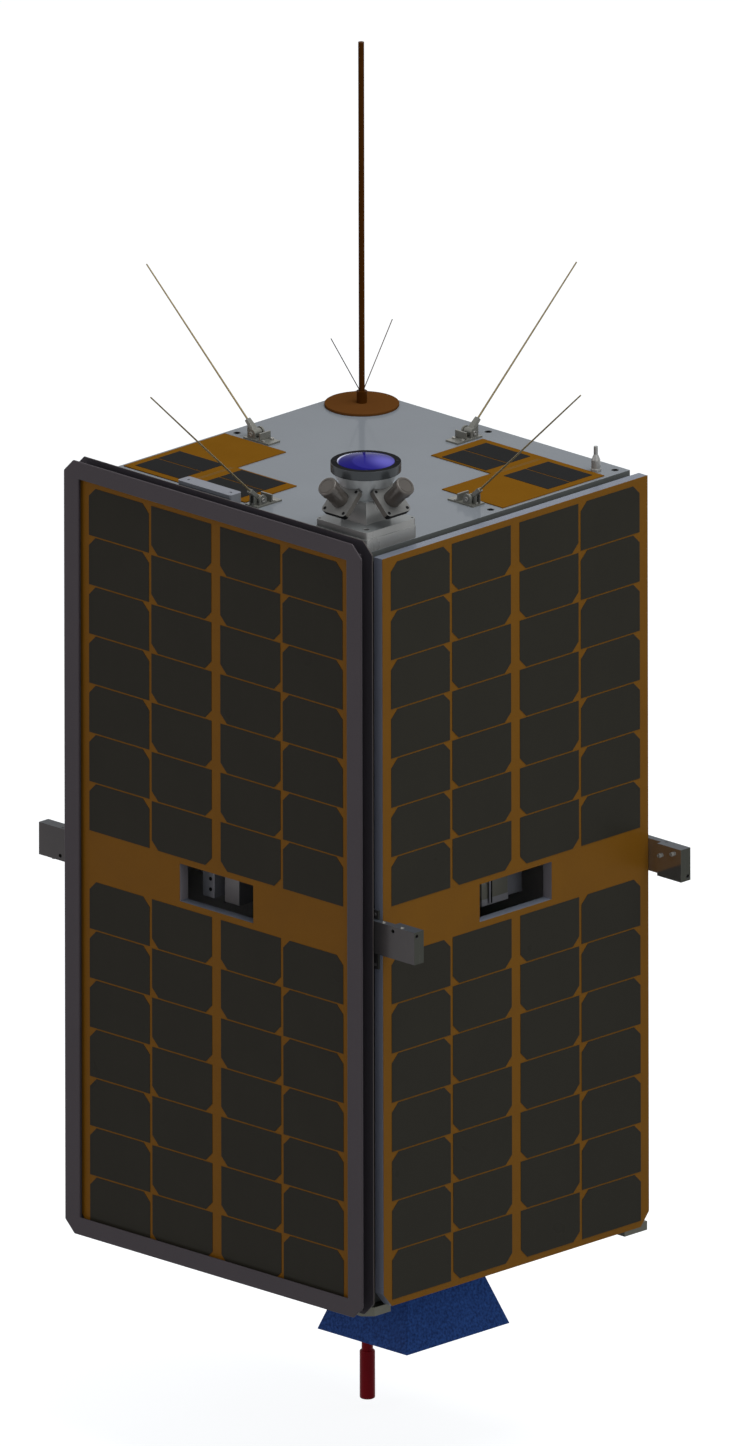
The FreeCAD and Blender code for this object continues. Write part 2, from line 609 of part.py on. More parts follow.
def make_lens_head():
    x, y = HEAD_AT
    body = plate(HEAD_BLOCK_SIDE, HEAD_BLOCK_SIDE, TOP + HEAD_BASE_TALL,
                 TOP + HEAD_BASE_TALL + HEAD_BLOCK_TALL, HEAD_AT)
    body = body.fuse(Part.makeCone(HEAD_BLOCK_SIDE / 2, CONE_HIGH_R, RING_LOW - CONE_LOW,
                                   V(x, y, TOP + CONE_LOW)))
    side = SUN_PLATE_SIDE / 2
    plates, barrels = [], []
    for angle in (-90, 0):
        body = body.fuse(turned(sun_gusset(), angle, HEAD_AT))
        piece = round_uprights(box(-side, side, -side, side, -SUN_PLATE_THICK, 0), SUN_PLATE_ROUND)
        for sx, sy in corners(side - SUN_SCREW_IN):
            piece = piece.cut(rod(SUN_SCREW_R, (sx, sy, -SUN_PLATE_THICK), (0, 0, 1),
                                  SUN_PLATE_THICK))
        barrel = sun_barrel()
        piece.Placement = sun_frame(angle)
        barrel.Placement = sun_frame(angle)
        plates.append(piece)
        barrels.append(barrel)
    # room for the plates, which rest on the gussets
    room = side + FIT
    for angle in (-90, 0):
        clear = box(-room, room, -room, room, -SUN_PLATE_THICK, FIT)
        clear.Placement = sun_frame(angle)
        body = body.cut(clear)
    body = body.removeSplitter()
    save("lens_head_body", body)
    save("sun_sensor_plates", *plates)
    save("sun_sensor_barrels", *barrels)

    ring = rod(RING_R, (x, y, TOP + RING_LOW), (0, 0, 1), RING_TALL)
    ring = ring.cut(rod(LENS_R + LENS_FIT, (x, y, TOP + RING_LOW), (0, 0, 1), RING_TALL))
    save("lens_ring", ring)
    # the glass: a drum with a shallow crown
    crown_r = (LENS_R ** 2 + LENS_RISE ** 2) / (2 * LENS_RISE)
    drum = rod(LENS_R, (x, y, TOP + RING_LOW), (0, 0, 1), RING_TALL + LENS_RISE)
    ball = Part.makeSphere(crown_r, V(x, y, TOP + RING_LOW + RING_TALL + LENS_RISE - crown_r))
    save("lens", drum.common(ball))


# ---------------------------------------------------------------- deck solar sheets
def make_deck_sheets():
    """The sheet at the front left, and the same turned half round at the back right."""
    wide, deep = SHEET_CELL
    gap_x, gap_y = SHEET_CELL_GAP
    left_margin, right_margin, front_margin, back_margin = SHEET_MARGIN
    left, front = -HALF + SHEET_SIDE_IN, -HALF + SHEET_END_IN
    right, back = (-FOOT_PLATE_WIDE / 2 - gap for gap in SHEET_WHIP_GAP)
    columns = int((right - left - left_margin - right_margin + gap_x) / (wide + gap_x))
    lefts = [left + left_margin + i * (wide + gap_x) for i in range(columns)]
    fronts = [front + front_margin, front + front_margin + deep + gap_y]
    inner_x = lefts[0] + wide + SHEET_LEG_MARGIN
    inner_y = fronts[-1] + deep + back_margin
    # an arm along the front and a leg along the side
    outline = ((left, front), (right, front), (right, inner_y), (inner_x, inner_y),
               (inner_x, back), (left, back))
    sheet = prism([(x, y, TOP) for x, y in outline], (0, 0, SHEET_THICK))
    top = TOP + SHEET_THICK
    cells = [box(x, x + wide, y, y + deep, top, top + SHEET_CELL_THICK)
             for x in lefts for y in fronts]
    save("deck_solar_sheets", sheet, turned(sheet, 180))
    save("deck_solar_cells", *cells, *[turned(cell, 180) for cell in cells])


# ---------------------------------------------------------------- whips
def whip_bracket():
    """Foot plate, upright wall, two cheeks with the hinge pin, and two stop ribs, out along +X."""
    hx, hz = HINGE_AT
    z0, z1 = TOP, TOP + FOOT_PLATE_THICK
    half = FOOT_PLATE_WIDE / 2
    bracket = box(hx - FOOT_PLATE_IN, hx + FOOT_PLATE_OUT, -half, half, z0, z1)
    bracket = bracket.fuse(box(hx - FOOT_WALL_IN - FOOT_WALL_THICK, hx - FOOT_WALL_IN,
                               -FOOT_WALL_WIDE / 2, FOOT_WALL_WIDE / 2, z0, z0 + FOOT_WALL_TALL))
    cheek_in = HUB_WIDE / 2 + CHEEK_GAP
    cheek_r = HUB_R + CHEEK_RIM
    for y0 in (cheek_in, -cheek_in - CHEEK_THICK):
        cheek = box(hx - cheek_r, hx + cheek_r, y0, y0 + CHEEK_THICK, z1 - SINK, hz)
        cheek = cheek.fuse(rod(cheek_r, (hx, y0, hz), (0, 1, 0), CHEEK_THICK))
        bracket = bracket.fuse(cheek)
    pin_half = cheek_in + CHEEK_THICK
    bracket = bracket.fuse(rod(PIN_R, (hx, -pin_half, hz), (0, 1, 0), 2 * pin_half))
    # stop: a rib on each side of the outer screw, just under the resting tongue
    slope = math.tan(math.radians(WHIP_RISE))
    under = (TONGUE_THICK / 2 + FIT) / math.cos(math.radians(WHIP_RISE))
    xs = (hx + HUB_R + STOP_GAP, hx + FOOT_PLATE_OUT - STOP_GAP)
    low, high = (hz + (x - hx) * slope - under for x in xs)
    outline = [(xs[0], z1 - SINK), (xs[1], z1 - SINK), (xs[1], high), (xs[0], low)]
    for y in (FOOT_SCREW_R + STOP_GAP, -FOOT_SCREW_R - STOP_GAP - STOP_RIB_WIDE):
        bracket = bracket.fuse(prism([(x, y, z) for x, z in outline], (0, STOP_RIB_WIDE, 0)))
    across = half - FOOT_SCREW_EDGE
    for x, y in ((hx - FOOT_SCREW_IN, across), (hx - FOOT_SCREW_IN, -across),
                 (hx + FOOT_SCREW_OUT, 0)):
        bracket = bracket.cut(rod(FOOT_SCREW_R, (x, y, z0), (0, 0, 1), FOOT_PLATE_THICK))
    return bracket.removeSplitter()


def whip():
    """Hub, tapered tongue and rod, out along +X, then raised to its rest angle."""
    hx, hz = HINGE_AT
    hub = rod(HUB_R, (hx, -HUB_WIDE / 2, hz), (0, 1, 0), HUB_WIDE)
    end = hx + TONGUE_LONG
    low = hz - TONGUE_THICK / 2
    tongue = prism([(hx, -TONGUE_WIDE / 2, low), (end, -TONGUE_END_WIDE / 2, low),
                    (end, TONGUE_END_WIDE / 2, low), (hx, TONGUE_WIDE / 2, low)],
                   (0, 0, TONGUE_THICK))
    wire = Part.makeCone(WHIP_ROOT_R, WHIP_TIP_R, WHIP_LONG - TONGUE_LONG + WHIP_SEAT,
                         V(end - WHIP_SEAT, 0, hz), V(1, 0, 0))
    piece = hub.fuse([tongue, wire]).removeSplitter()
    bore = rod(PIN_R + PIN_FIT, (hx, -HUB_WIDE / 2, hz), (0, 1, 0), HUB_WIDE)
    piece = piece.cut(bore)
    piece.rotate(V(hx, 0, hz), V(0, -1, 0), WHIP_RISE)
    return piece


def make_whips():
    bracket, rod_piece = whip_bracket(), whip()
    for side, angle in QUARTERS:
        save("whip_bracket_" + side, turned(bracket, angle - 90))
        save("whip_" + side, turned(rod_piece, angle - 90))


# ---------------------------------------------------------------- small deck fittings
def make_stub():
    x, y = HALF - STUB_IN[0], HALF - STUB_IN[1]
    low, pieces = TOP, []
    for tall, foot_r, top_r in STUB_STEPS:
        pieces.append(Part.makeCone(foot_r, top_r, tall, V(x, y, low)))
        low += tall
    save("stub_antenna", pieces[0].fuse(pieces[1:]).removeSplitter())


def make_edge_block():
    """A low block with rounded ends and two grooves along its front."""
    long, deep, tall = EDGE_BLOCK
    x1 = -FOOT_PLATE_WIDE / 2 - EDGE_BLOCK_WHIP_GAP
    x0 = x1 - long
    y0 = -HALF + EDGE_BLOCK_IN
    high = TOP + tall
    piece = round_uprights(box(x0, x1, y0, y0 + deep, TOP, high), EDGE_BLOCK_ROUND)
    for up in GROOVE_UP:
        piece = piece.cut(box(x0, x1, y0, y0 + GROOVE_DEEP, TOP + up, TOP + up + GROOVE_TALL))
    for x in (x0 + EDGE_BLOCK_HOLE_IN, x1 - EDGE_BLOCK_HOLE_IN):
        piece = piece.cut(rod(EDGE_BLOCK_HOLE_R, (x, y0 + deep / 2, high - EDGE_BLOCK_HOLE_DEEP),
                              (0, 0, 1), EDGE_BLOCK_HOLE_DEEP))
    save("edge_block", piece)


# ---------------------------------------------------------------- equipment inside
def make_equipment():
    shelf_z = WINDOW_MID + WINDOW_TALL / 2 + SHELF_ABOVE
    sill_z = WINDOW_MID - WINDOW_TALL / 2
    out, closed = HALF - FIT, CLOSING_BACK - FIT
    shelf = box(-closed, out, -out, closed, shelf_z, shelf_z + SHELF_THICK)
    for x, y in corners(HALF - POST_SIDE / 2):
        shelf = shelf.cut(plate(POST_SIDE, POST_SIDE, shelf_z, shelf_z + SHELF_THICK, (x, y)))
    save("equipment_shelf", shelf)
    boxes = [box(x0, x1, -HALF + near, -HALF + far, sill_z - drop, shelf_z)
             for x0, x1, near, far, drop in FRONT_BOXES]
    boxes += [box(HALF - far, HALF - near, y0, y1, sill_z - drop, shelf_z)
              for y0, y1, near, far, drop in RIGHT_BOXES]
    save("equipment_boxes", *boxes)
    wide, deep, tall = BATTERY
    save("battery_block", plate(wide, deep, DECK_THICK, DECK_THICK + tall))


make_decks()
make_posts()
make_feet()
make_panels()
make_closing_panels()
make_front_frame()
make_lugs()
make_horn()
make_sleeve_antenna()
make_mast()
make_head_base()
make_lens_head()
make_deck_sheets()
make_whips()
make_stub()
make_edge_block()
make_equipment()
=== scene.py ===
import bmesh
import bpy
from math import cos, pi, radians, sin
from mathutils import Matrix, Quaternion, Vector


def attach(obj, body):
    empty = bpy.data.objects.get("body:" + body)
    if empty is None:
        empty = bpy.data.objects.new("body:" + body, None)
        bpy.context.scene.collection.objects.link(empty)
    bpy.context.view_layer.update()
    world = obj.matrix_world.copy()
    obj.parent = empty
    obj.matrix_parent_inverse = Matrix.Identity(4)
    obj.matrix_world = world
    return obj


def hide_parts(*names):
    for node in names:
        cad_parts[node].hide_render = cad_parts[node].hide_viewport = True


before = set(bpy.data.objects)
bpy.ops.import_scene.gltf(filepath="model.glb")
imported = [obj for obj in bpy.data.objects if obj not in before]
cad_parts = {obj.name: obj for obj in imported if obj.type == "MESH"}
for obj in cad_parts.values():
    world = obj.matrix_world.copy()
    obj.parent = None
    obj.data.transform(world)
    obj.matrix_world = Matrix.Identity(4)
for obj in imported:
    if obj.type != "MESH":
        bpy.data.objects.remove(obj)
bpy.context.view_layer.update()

# A small box-shaped satellite, dressed in the order it is put together:
# decks, posts, feet, solar and closing panels, front frame, lugs, horn and
# sleeve antenna below, then everything on the top deck, then what shows
# inside.
# Metres throughout. Z is up, the framed front is -Y, the right side is +X.

# ------------------------------------------------------------------ decks
# The two square decks are milled aluminium plate, bead blasted to a dull
# pale grey with sawn sides and every edge broken, and screwed to the corner
# posts. Dark threaded inserts line the top deck's holes.
BODY = "satellite_body"
TOP = 0.636                  # the top deck's upper face
HOLE_AT = 0.143              # its holes from the middle, at the corners and mid-edge


def grain_group():
    """Colour, roughness and height of a blasted or sprayed surface."""
    group = bpy.data.node_groups.new("surface grain", "ShaderNodeTree")
    sockets = (("Colour", "NodeSocketColor"), ("Worn Colour", "NodeSocketColor"),
               ("Grain Size", "NodeSocketFloat"), ("Grain", "NodeSocketFloat"),
               ("Cloud Size", "NodeSocketFloat"), ("Cloud", "NodeSocketFloat"),
               ("Roughness", "NodeSocketFloat"), ("Spread", "NodeSocketFloat"))
    for name, kind in sockets:
        group.interface.new_socket(name, in_out="INPUT", socket_type=kind)
    for name, kind in (("Colour", "NodeSocketColor"), ("Roughness", "NodeSocketFloat"),
                       ("Height", "NodeSocketFloat")):
        group.interface.new_socket(name, in_out="OUTPUT", socket_type=kind)
    nodes, links = group.nodes, group.links
    given, made = nodes.new("NodeGroupInput"), nodes.new("NodeGroupOutput")
    place = nodes.new("ShaderNodeTexCoord")

    def noise(size_socket, detail):
        """Noise whose features have the given size in metres."""
        size = nodes.new("ShaderNodeMath")
        size.operation = "DIVIDE"
        size.inputs[0].default_value = 1.0
        links.new(given.outputs[size_socket], size.inputs[1])
        texture = nodes.new("ShaderNodeTexNoise")
        texture.inputs["Detail"].default_value = detail
        links.new(place.outputs["Object"], texture.inputs["Vector"])
        links.new(size.outputs[0], texture.inputs["Scale"])
        return texture.outputs["Fac"]

    def weighted(value, weight_socket):
        """(value - 0.5) times the weight."""
        centred = nodes.new("ShaderNodeMath")
        centred.operation = "SUBTRACT"
        centred.inputs[1].default_value = 0.5
        links.new(value, centred.inputs[0])
        scaled = nodes.new("ShaderNodeMath")
        scaled.operation = "MULTIPLY"
        links.new(centred.outputs[0], scaled.inputs[0])
        links.new(given.outputs[weight_socket], scaled.inputs[1])
        return scaled.outputs[0]

    def add(first, second):
        total = nodes.new("ShaderNodeMath")
        total.operation = "ADD"
        links.new(first, total.inputs[0])
        links.new(second, total.inputs[1])
        return total.outputs[0]

    fine, cloud = noise("Grain Size", 2.0), noise("Cloud Size", 3.0)
    shift = add(weighted(fine, "Grain"), weighted(cloud, "Cloud"))
    level = nodes.new("ShaderNodeMath")
    level.operation = "ADD"
    level.use_clamp = True
    level.inputs[1].default_value = 0.5
    links.new(shift, level.inputs[0])
    mix = nodes.new("ShaderNodeMix")
    mix.data_type = "RGBA"
    links.new(level.outputs[0], mix.inputs["Factor"])
    links.new(given.outputs["Worn Colour"], mix.inputs["A"])
    links.new(given.outputs["Colour"], mix.inputs["B"])
    links.new(mix.outputs["Result"], made.inputs["Colour"])
    links.new(add(weighted(cloud, "Spread"), given.outputs["Roughness"]), made.inputs["Roughness"])
    links.new(fine, made.inputs["Height"])
    return group


GRAIN = grain_group()


def srgb(red, green, blue):
    """Linear colour of an 8-bit screen colour."""
    def channel(value):
        value /= 255
        return value / 12.92 if value <= 0.04045 else ((value + 0.055) / 1.055) ** 2.4
    return (channel(red), channel(green), channel(blue), 1.0)


def surface(name, colour, worn, rough, grain=0.0008, speckle=0.5, cloud_size=0.05, cloud=0.6,
            spread=0.1, bump=0.1, metal=0.0, specular=0.5):
    """Grained material between two colours; sizes in metres, bump in millimetres."""
    material = bpy.data.materials.new(name)
    material.use_nodes = True
    nodes, links = material.node_tree.nodes, material.node_tree.links
    shader = nodes["Principled BSDF"]
    shader.inputs["Metallic"].default_value = metal
    shader.inputs["Specular IOR Level"].default_value = specular
    look = nodes.new("ShaderNodeGroup")
    look.node_tree = GRAIN
    for socket, value in (("Colour", colour), ("Worn Colour", worn), ("Grain Size", grain),
                          ("Grain", speckle), ("Cloud Size", cloud_size), ("Cloud", cloud),
                          ("Roughness", rough), ("Spread", spread)):
        look.inputs[socket].default_value = value
    relief = nodes.new("ShaderNodeBump")
    relief.inputs["Distance"].default_value = bump / 1000
    links.new(look.outputs["Colour"], shader.inputs["Base Color"])
    links.new(look.outputs["Roughness"], shader.inputs["Roughness"])
    links.new(look.outputs["Height"], relief.inputs["Height"])
    links.new(relief.outputs["Normal"], shader.inputs["Normal"])
    return material


def wear(piece, material):
    piece.data.materials.clear()
    piece.data.materials.append(material)


def eased(node, name, radius, material, body=BODY, segments=2, sharpest=35):
    """A copy of the CAD solid with its sharp edges rounded, which stands for it."""
    weld, flat = 2e-6, radians(0.5)
    shape = bmesh.new()
    shape.from_mesh(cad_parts[node].data)
    bmesh.ops.remove_doubles(shape, verts=shape.verts, dist=weld)
    bmesh.ops.dissolve_limit(shape, angle_limit=flat, verts=shape.verts, edges=shape.edges)
    sharp = [edge for edge in shape.edges
             if len(edge.link_faces) == 2 and edge.calc_face_angle() > radians(sharpest)]
    bmesh.ops.bevel(shape, geom=sharp, offset=radius, segments=segments, profile=0.5,
                    affect="EDGES", clamp_overlap=True)
    for face in shape.faces:
        face.smooth = True
    mesh = bpy.data.meshes.new(name)
    shape.to_mesh(mesh)
    shape.free()
    piece = bpy.data.objects.new(name, mesh)
    bpy.context.scene.collection.objects.link(piece)
    flats = piece.modifiers.new("flat faces stay flat", "WEIGHTED_NORMAL")
    flats.mode = "FACE_AREA"
    flats.weight = 100
    wear(piece, material)
    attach(piece, body)
    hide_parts(node)
    return piece


def second_coat(piece, material, covers):
    """Another material on the faces whose middle passes the test."""
    piece.data.materials.append(material)
    for face in piece.data.polygons:
        if covers(face):
            face.material_index = len(piece.data.materials) - 1


deck_metal = surface("blasted aluminium", srgb(126, 131, 136), srgb(119, 123, 128), rough=0.12,
                     grain=0.0009, speckle=0.5, cloud=0.7, spread=0.05, bump=0.002, specular=0.02)
deck_edge = surface("sawn deck edge", srgb(100, 103, 101), srgb(88, 91, 90), rough=0.4,
                    grain=0.0007, speckle=0.6, cloud=0.6, bump=0.02, specular=0.05)
for deck in ("top_deck", "bottom_deck"):
    second_coat(eased(deck, deck + "_plate", 0.0004, deck_metal), deck_edge,
                lambda face: abs(face.normal.z) < 0.3)


def turned_shape(profile, hollow=False):
    """Closed shape through rings of (radius, height, corners); 0 corners is round.
    A hollow one joins its last ring to its first."""
    turns = 24
    shape = bmesh.new()
    rings = []
    for radius, height, corners in profile:
        ring = []
        for step in range(turns):
            turn = 2 * pi * step / turns
            reach = radius
            if corners:
                half = pi / corners
                reach = radius * cos(half) / cos(turn % (2 * half) - half)
            ring.append(shape.verts.new((reach * cos(turn), reach * sin(turn), height)))
        rings.append(ring)
    if hollow:
        rings.append(rings[0])
    for low, high in zip(rings, rings[1:]):
        for step in range(turns):
            after = (step + 1) % turns
            shape.faces.new((low[step], low[after], high[after], high[step]))
    if not hollow:
        shape.faces.new(list(reversed(rings[0])))
        shape.faces.new(rings[-1])
    return shape


def set_in(name, shape, places, material):
    """One piece with a copy of the shape at each (position, direction of its +Z)."""
    pattern = bpy.data.meshes.new(name + " pattern")
    shape.to_mesh(pattern)
    shape.free()
    whole = bmesh.new()
    for position, direction in places:
        copy = pattern.copy()
        turn = Vector(direction).to_track_quat("Z", "Y").to_matrix().to_4x4()
        copy.transform(Matrix.Translation(position) @ turn)
        whole.from_mesh(copy)
        bpy.data.meshes.remove(copy)
    bpy.data.meshes.remove(pattern)
    mesh = bpy.data.meshes.new(name)
    for face in whole.faces:
        face.smooth = True
    whole.to_mesh(mesh)
    whole.free()
    mesh.set_sharp_from_angle(angle=radians(30))
    piece = bpy.data.objects.new(name, mesh)
    bpy.context.scene.collection.objects.link(piece)
    wear(piece, material)
    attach(piece, BODY)
    return piece


black_steel_and_painted_shade = surface("black oxide steel and painted shade", srgb(26, 26, 27), srgb(18, 18, 19), rough=0.45,
                      grain=0.0003, speckle=0.6, cloud=0.6, cloud_size=0.004, bump=0.01,
                      specular=0.05)
INSERT_R, INSERT_BORE, FLANGE_R = 0.00235, 0.0020, 0.0030
INSERT_DEEP, FLANGE_THICK = 0.0043, 0.0001
insert = turned_shape(((INSERT_R, 0, 0), (INSERT_R, INSERT_DEEP, 0), (FLANGE_R, INSERT_DEEP, 0),
                       (FLANGE_R, INSERT_DEEP + FLANGE_THICK, 0),
                       (INSERT_BORE, INSERT_DEEP + FLANGE_THICK, 0), (INSERT_BORE, 0, 0)),
                      hollow=True)
hole_places = [(x, y) for x in (-HOLE_AT, 0, HOLE_AT) for y in (-HOLE_AT, 0, HOLE_AT) if x or y]
set_in("deck_hole_inserts", insert,
       [((x, y, TOP - INSERT_DEEP), (0, 0, 1)) for x, y in hole_places], black_steel_and_painted_shade)

# ------------------------------------------- posts, panel rails and shelf
# Square dark anodised aluminium posts stand in the corners, with rails on
# them that the panels are bonded to. The shelf carries the equipment.
post_metal = surface("dark anodised aluminium", srgb(52, 51, 52), srgb(34, 33, 34), rough=0.45,
                     grain=0.0006, speckle=0.6, cloud=0.6, bump=0.02, metal=0.7)
eased("corner_posts", "posts", 0.0005, post_metal)
eased("panel_rails", "rails", 0.0004, post_metal)
eased("equipment_shelf", "shelf", 0.0004, post_metal)

# ------------------------------------------------------------------- feet
# Each foot is a milled block under a corner post, greenish grey chromated,
# with a deep screw hole up its middle.
foot_metal = surface("chromated aluminium", srgb(86, 86, 76), srgb(66, 66, 58), rough=0.42,
                     grain=0.0007, speckle=0.6, cloud=0.8, cloud_size=0.02, bump=0.03, metal=0.6)
eased("feet", "milled_feet", 0.0010, foot_metal, segments=3)

# ------------------------------------------------------------ solar panels
# A panel is a flat core board with a window milled through it and sealed
# grey edges, its sides and window sides a lighter grey as painted light, an
# amber film bonded on its face, and rows of dark cells with two cropped
# corners under thin glass.
board_metal = surface("panel board edge", srgb(122, 128, 140), srgb(104, 109, 121), rough=0.4,
                      grain=0.0006, speckle=0.6, cloud=0.6, bump=0.03, metal=0.2, specular=0.1)
amber_film = surface("amber film", srgb(124, 83, 20), srgb(114, 75, 16), rough=0.4,
                     grain=0.0010, speckle=0.7, cloud=0.9, cloud_size=0.03, spread=0.15,
                     bump=0.02, specular=0.06)


def finger_group():
    """Mask of the thin conductor lines that cross every cell upright."""
    group = bpy.data.node_groups.new("cell fingers", "ShaderNodeTree")
    for name in ("Pitch", "Line"):
        group.interface.new_socket(name, in_out="INPUT", socket_type="NodeSocketFloat")
    group.interface.new_socket("Mask", in_out="OUTPUT", socket_type="NodeSocketFloat")
    nodes, links = group.nodes, group.links
    given, made = nodes.new("NodeGroupInput"), nodes.new("NodeGroupOutput")
    place, shape = nodes.new("ShaderNodeTexCoord"), nodes.new("ShaderNodeNewGeometry")
    at, facing = nodes.new("ShaderNodeSeparateXYZ"), nodes.new("ShaderNodeSeparateXYZ")
    links.new(place.outputs["Object"], at.inputs[0])
    links.new(shape.outputs["True Normal"], facing.inputs[0])

    def sums(operation, first, second=None):
        step = nodes.new("ShaderNodeMath")
        step.operation = operation
        for socket, value in zip(step.inputs, (first, second)):
            if isinstance(value, float):
                socket.default_value = value
            elif value is not None:
                links.new(value, socket)
        return step.outputs[0]

    sideways = sums("GREATER_THAN", sums("ABSOLUTE", facing.outputs["X"]), 0.7)
    front_on = sums("SUBTRACT", 1.0, sideways)
    along = sums("ADD", sums("MULTIPLY", at.outputs["X"], front_on),
                 sums("MULTIPLY", at.outputs["Y"], sideways))
    step = sums("FRACT", sums("DIVIDE", along, given.outputs["Pitch"]))
    links.new(sums("LESS_THAN", step, given.outputs["Line"]), made.inputs["Mask"])
    return group


FINGERS = finger_group()


def cell_glass(name, colour, worn, line):
    """Dark cell under cover glass, with its conductor lines a shade lighter."""
    material = surface(name, colour, worn, rough=0.3, grain=0.0011, speckle=0.6, cloud=0.8,
                       cloud_size=0.04, spread=0.12, bump=0.005, specular=0.04)
    nodes, links = material.node_tree.nodes, material.node_tree.links
    shader = nodes["Principled BSDF"]
    lines = nodes.new("ShaderNodeGroup")
    lines.node_tree = FINGERS
    lines.inputs["Pitch"].default_value = 0.0012      # metres from line to line
    lines.inputs["Line"].default_value = 0.12         # a line's share of that
    mix = nodes.new("ShaderNodeMix")
    mix.data_type = "RGBA"
    mix.inputs["B"].default_value = line
    links.new(shader.inputs["Base Color"].links[0].from_socket, mix.inputs["A"])
    links.new(lines.outputs["Mask"], mix.inputs["Factor"])
    links.new(mix.outputs["Result"], shader.inputs["Base Color"])
    return material


dark_cell = cell_glass("cell under glass", srgb(47, 45, 38), srgb(42, 40, 34), srgb(56, 54, 46))
board_side_painted_light = surface("board side with painted light", srgb(147, 151, 168), srgb(132, 136, 151), rough=0.4,
                     grain=0.0006, speckle=0.6, cloud=0.6, bump=0.03, metal=0.2, specular=0.1)
WINDOW_REACH = 0.1           # only the window's faces lie this near the middle
window_side_painted_light = surface("window side with painted light", srgb(147, 141, 146), srgb(132, 127, 131), rough=0.4,
                      grain=0.0006, speckle=0.6, cloud=0.6, bump=0.03, metal=0.2, specular=0.1)
for side in ("front", "right"):
    board = eased("panel_core_" + side, "board_" + side, 0.0004, board_metal)
    # the board's sides and its window's sides take a lighter grey than its top and bottom edges:
    # painted light against the shade in the corner gaps and the window
    second_coat(board, board_side_painted_light, lambda face: abs(face.normal.z) < 0.3)
    second_coat(board, window_side_painted_light, lambda face: abs(face.normal.z) < 0.3
                and min(abs(face.center.x), abs(face.center.y)) < WINDOW_REACH)
    wear(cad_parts["panel_skin_" + side], amber_film)
    wear(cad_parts["solar_cells_" + side], dark_cell)

# --------------------------------------------------------- closing panels
# Plain passivated aluminium plates close the back and the left between the
# posts, primed white inside, with a row of cap screws up each side.
closing_metal = surface("passivated aluminium", srgb(132, 135, 136), srgb(116, 119, 120),
                        rough=0.35, grain=0.0009, speckle=0.6, cloud=0.9, cloud_size=0.06,
                        bump=0.02, metal=0.3, specular=0.1)
white_primer = surface("white primer", srgb(226, 226, 224), srgb(212, 212, 210), rough=0.6,
                       grain=0.0009, speckle=0.5, cloud=0.5, bump=0.02, specular=0.05)
for side, inward in (("back", Vector((0, -1, 0))), ("left", Vector((1, 0, 0)))):
    plate = eased("closing_panel_" + side, "closing_plate_" + side, 0.0006, closing_metal)
    second_coat(plate, white_primer, lambda face: face.normal.dot(inward) > 0.9)


def cap_screw(head, tall):
    """Cap screw head with a hex socket, from its radius and height; its seat is at z = 0."""
    edge = 0.08 * head
    socket, deep = 0.5 * head, 0.55 * tall
    return turned_shape(((head, 0, 0), (head, tall - edge, 0), (head - edge, tall, 0),
                         (socket * 1.12, tall, 0), (socket, tall - edge, 6),
                         (socket, tall - deep, 6)))


screw_metal = surface("screw steel", srgb(158, 157, 152), srgb(124, 123, 119), rough=0.35,
                      grain=0.0003, speckle=0.6, cloud=0.6, cloud_size=0.004, bump=0.01,
                      metal=0.7)
CLOSING_FACE = 0.1510        # the plates' outer face from the middle
CLOSING_SCREW_AT = 0.1252    # the screws from each plate's middle
FIRST_ROW, ROW_STEP, ROWS = 0.0143, 0.1012333, 7
closing_screws = []
for row in range(ROWS):
    z = FIRST_ROW + row * ROW_STEP
    for along in (-CLOSING_SCREW_AT, CLOSING_SCREW_AT):
        closing_screws.append(((along, CLOSING_FACE, z), (0, 1, 0)))
        closing_screws.append(((-CLOSING_FACE, along, z), (-1, 0, 0)))
set_in("closing_panel_screws", cap_screw(0.0029, 0.0012), closing_screws, screw_metal)

# ------------------------------------------------------------- front frame
# Two thin plates with sloped corners frame the front panel, held apart by a
# narrow ring. The face plate is sprayed purple grey and the ring grey, and
# the back plate's edges are a lighter brown grey, painted light.
frame_paint = surface("purple grey paint", srgb(74, 68, 72), srgb(63, 58, 62), rough=0.4,
                      grain=0.0008, speckle=0.9, cloud=0.5, spread=0.1, bump=0.02, specular=0.12)
band_paint = surface("grey frame ring", srgb(76, 72, 77), srgb(66, 62, 67), rough=0.45,
                     grain=0.0007, speckle=0.8, cloud=0.4, bump=0.02, specular=0.05)
back_edge_painted_light = surface("back plate edge with painted light", srgb(84, 78, 76), srgb(74, 69, 67), rough=0.4,
                    grain=0.0006, speckle=0.7, cloud=0.5, bump=0.02, specular=0.05)
BACK_PLATE_FRONT = -0.1619   # the back plate lies behind this
eased("front_frame", "frame_plate", 0.0008, frame_paint)
# the back plate's edges take a lighter brown grey than the ring: painted light
second_coat(eased("front_frame_band", "frame_back", 0.0003, band_paint), back_edge_painted_light,
            lambda face: face.center.y > BACK_PLATE_FRONT and abs(face.normal.y) < 0.5)

# ------------------------------------------------------------------- lugs
# Four machined aluminium lugs reach out past the right and left sides. Each
# is a plate screwed into its corner gap with an arm on it, polished on its
# inner face, darker on its end, top and bottom faces as painted shade, and
# carries a pad with two cap screws.
lug_metal = surface("machined aluminium", srgb(80, 77, 77), srgb(70, 68, 68), rough=0.25,
                    grain=0.0006, speckle=0.5, cloud=0.8, cloud_size=0.02, spread=0.08,
                    bump=0.01, metal=0.25, specular=0.1)
lug_top_bottom_painted_shade = surface("lug top and bottom with painted shade", srgb(70, 74, 80), srgb(62, 66, 71), rough=0.35,
                  grain=0.0006, speckle=0.5, cloud=0.8, cloud_size=0.02, bump=0.01, specular=0.08)
pad_metal = surface("polished pad", srgb(172, 170, 168), srgb(160, 158, 156), rough=0.10,
                    grain=0.0005, speckle=0.5, cloud=0.5, cloud_size=0.02, spread=0.03,
                    bump=0.001, metal=0.86, specular=0.1)
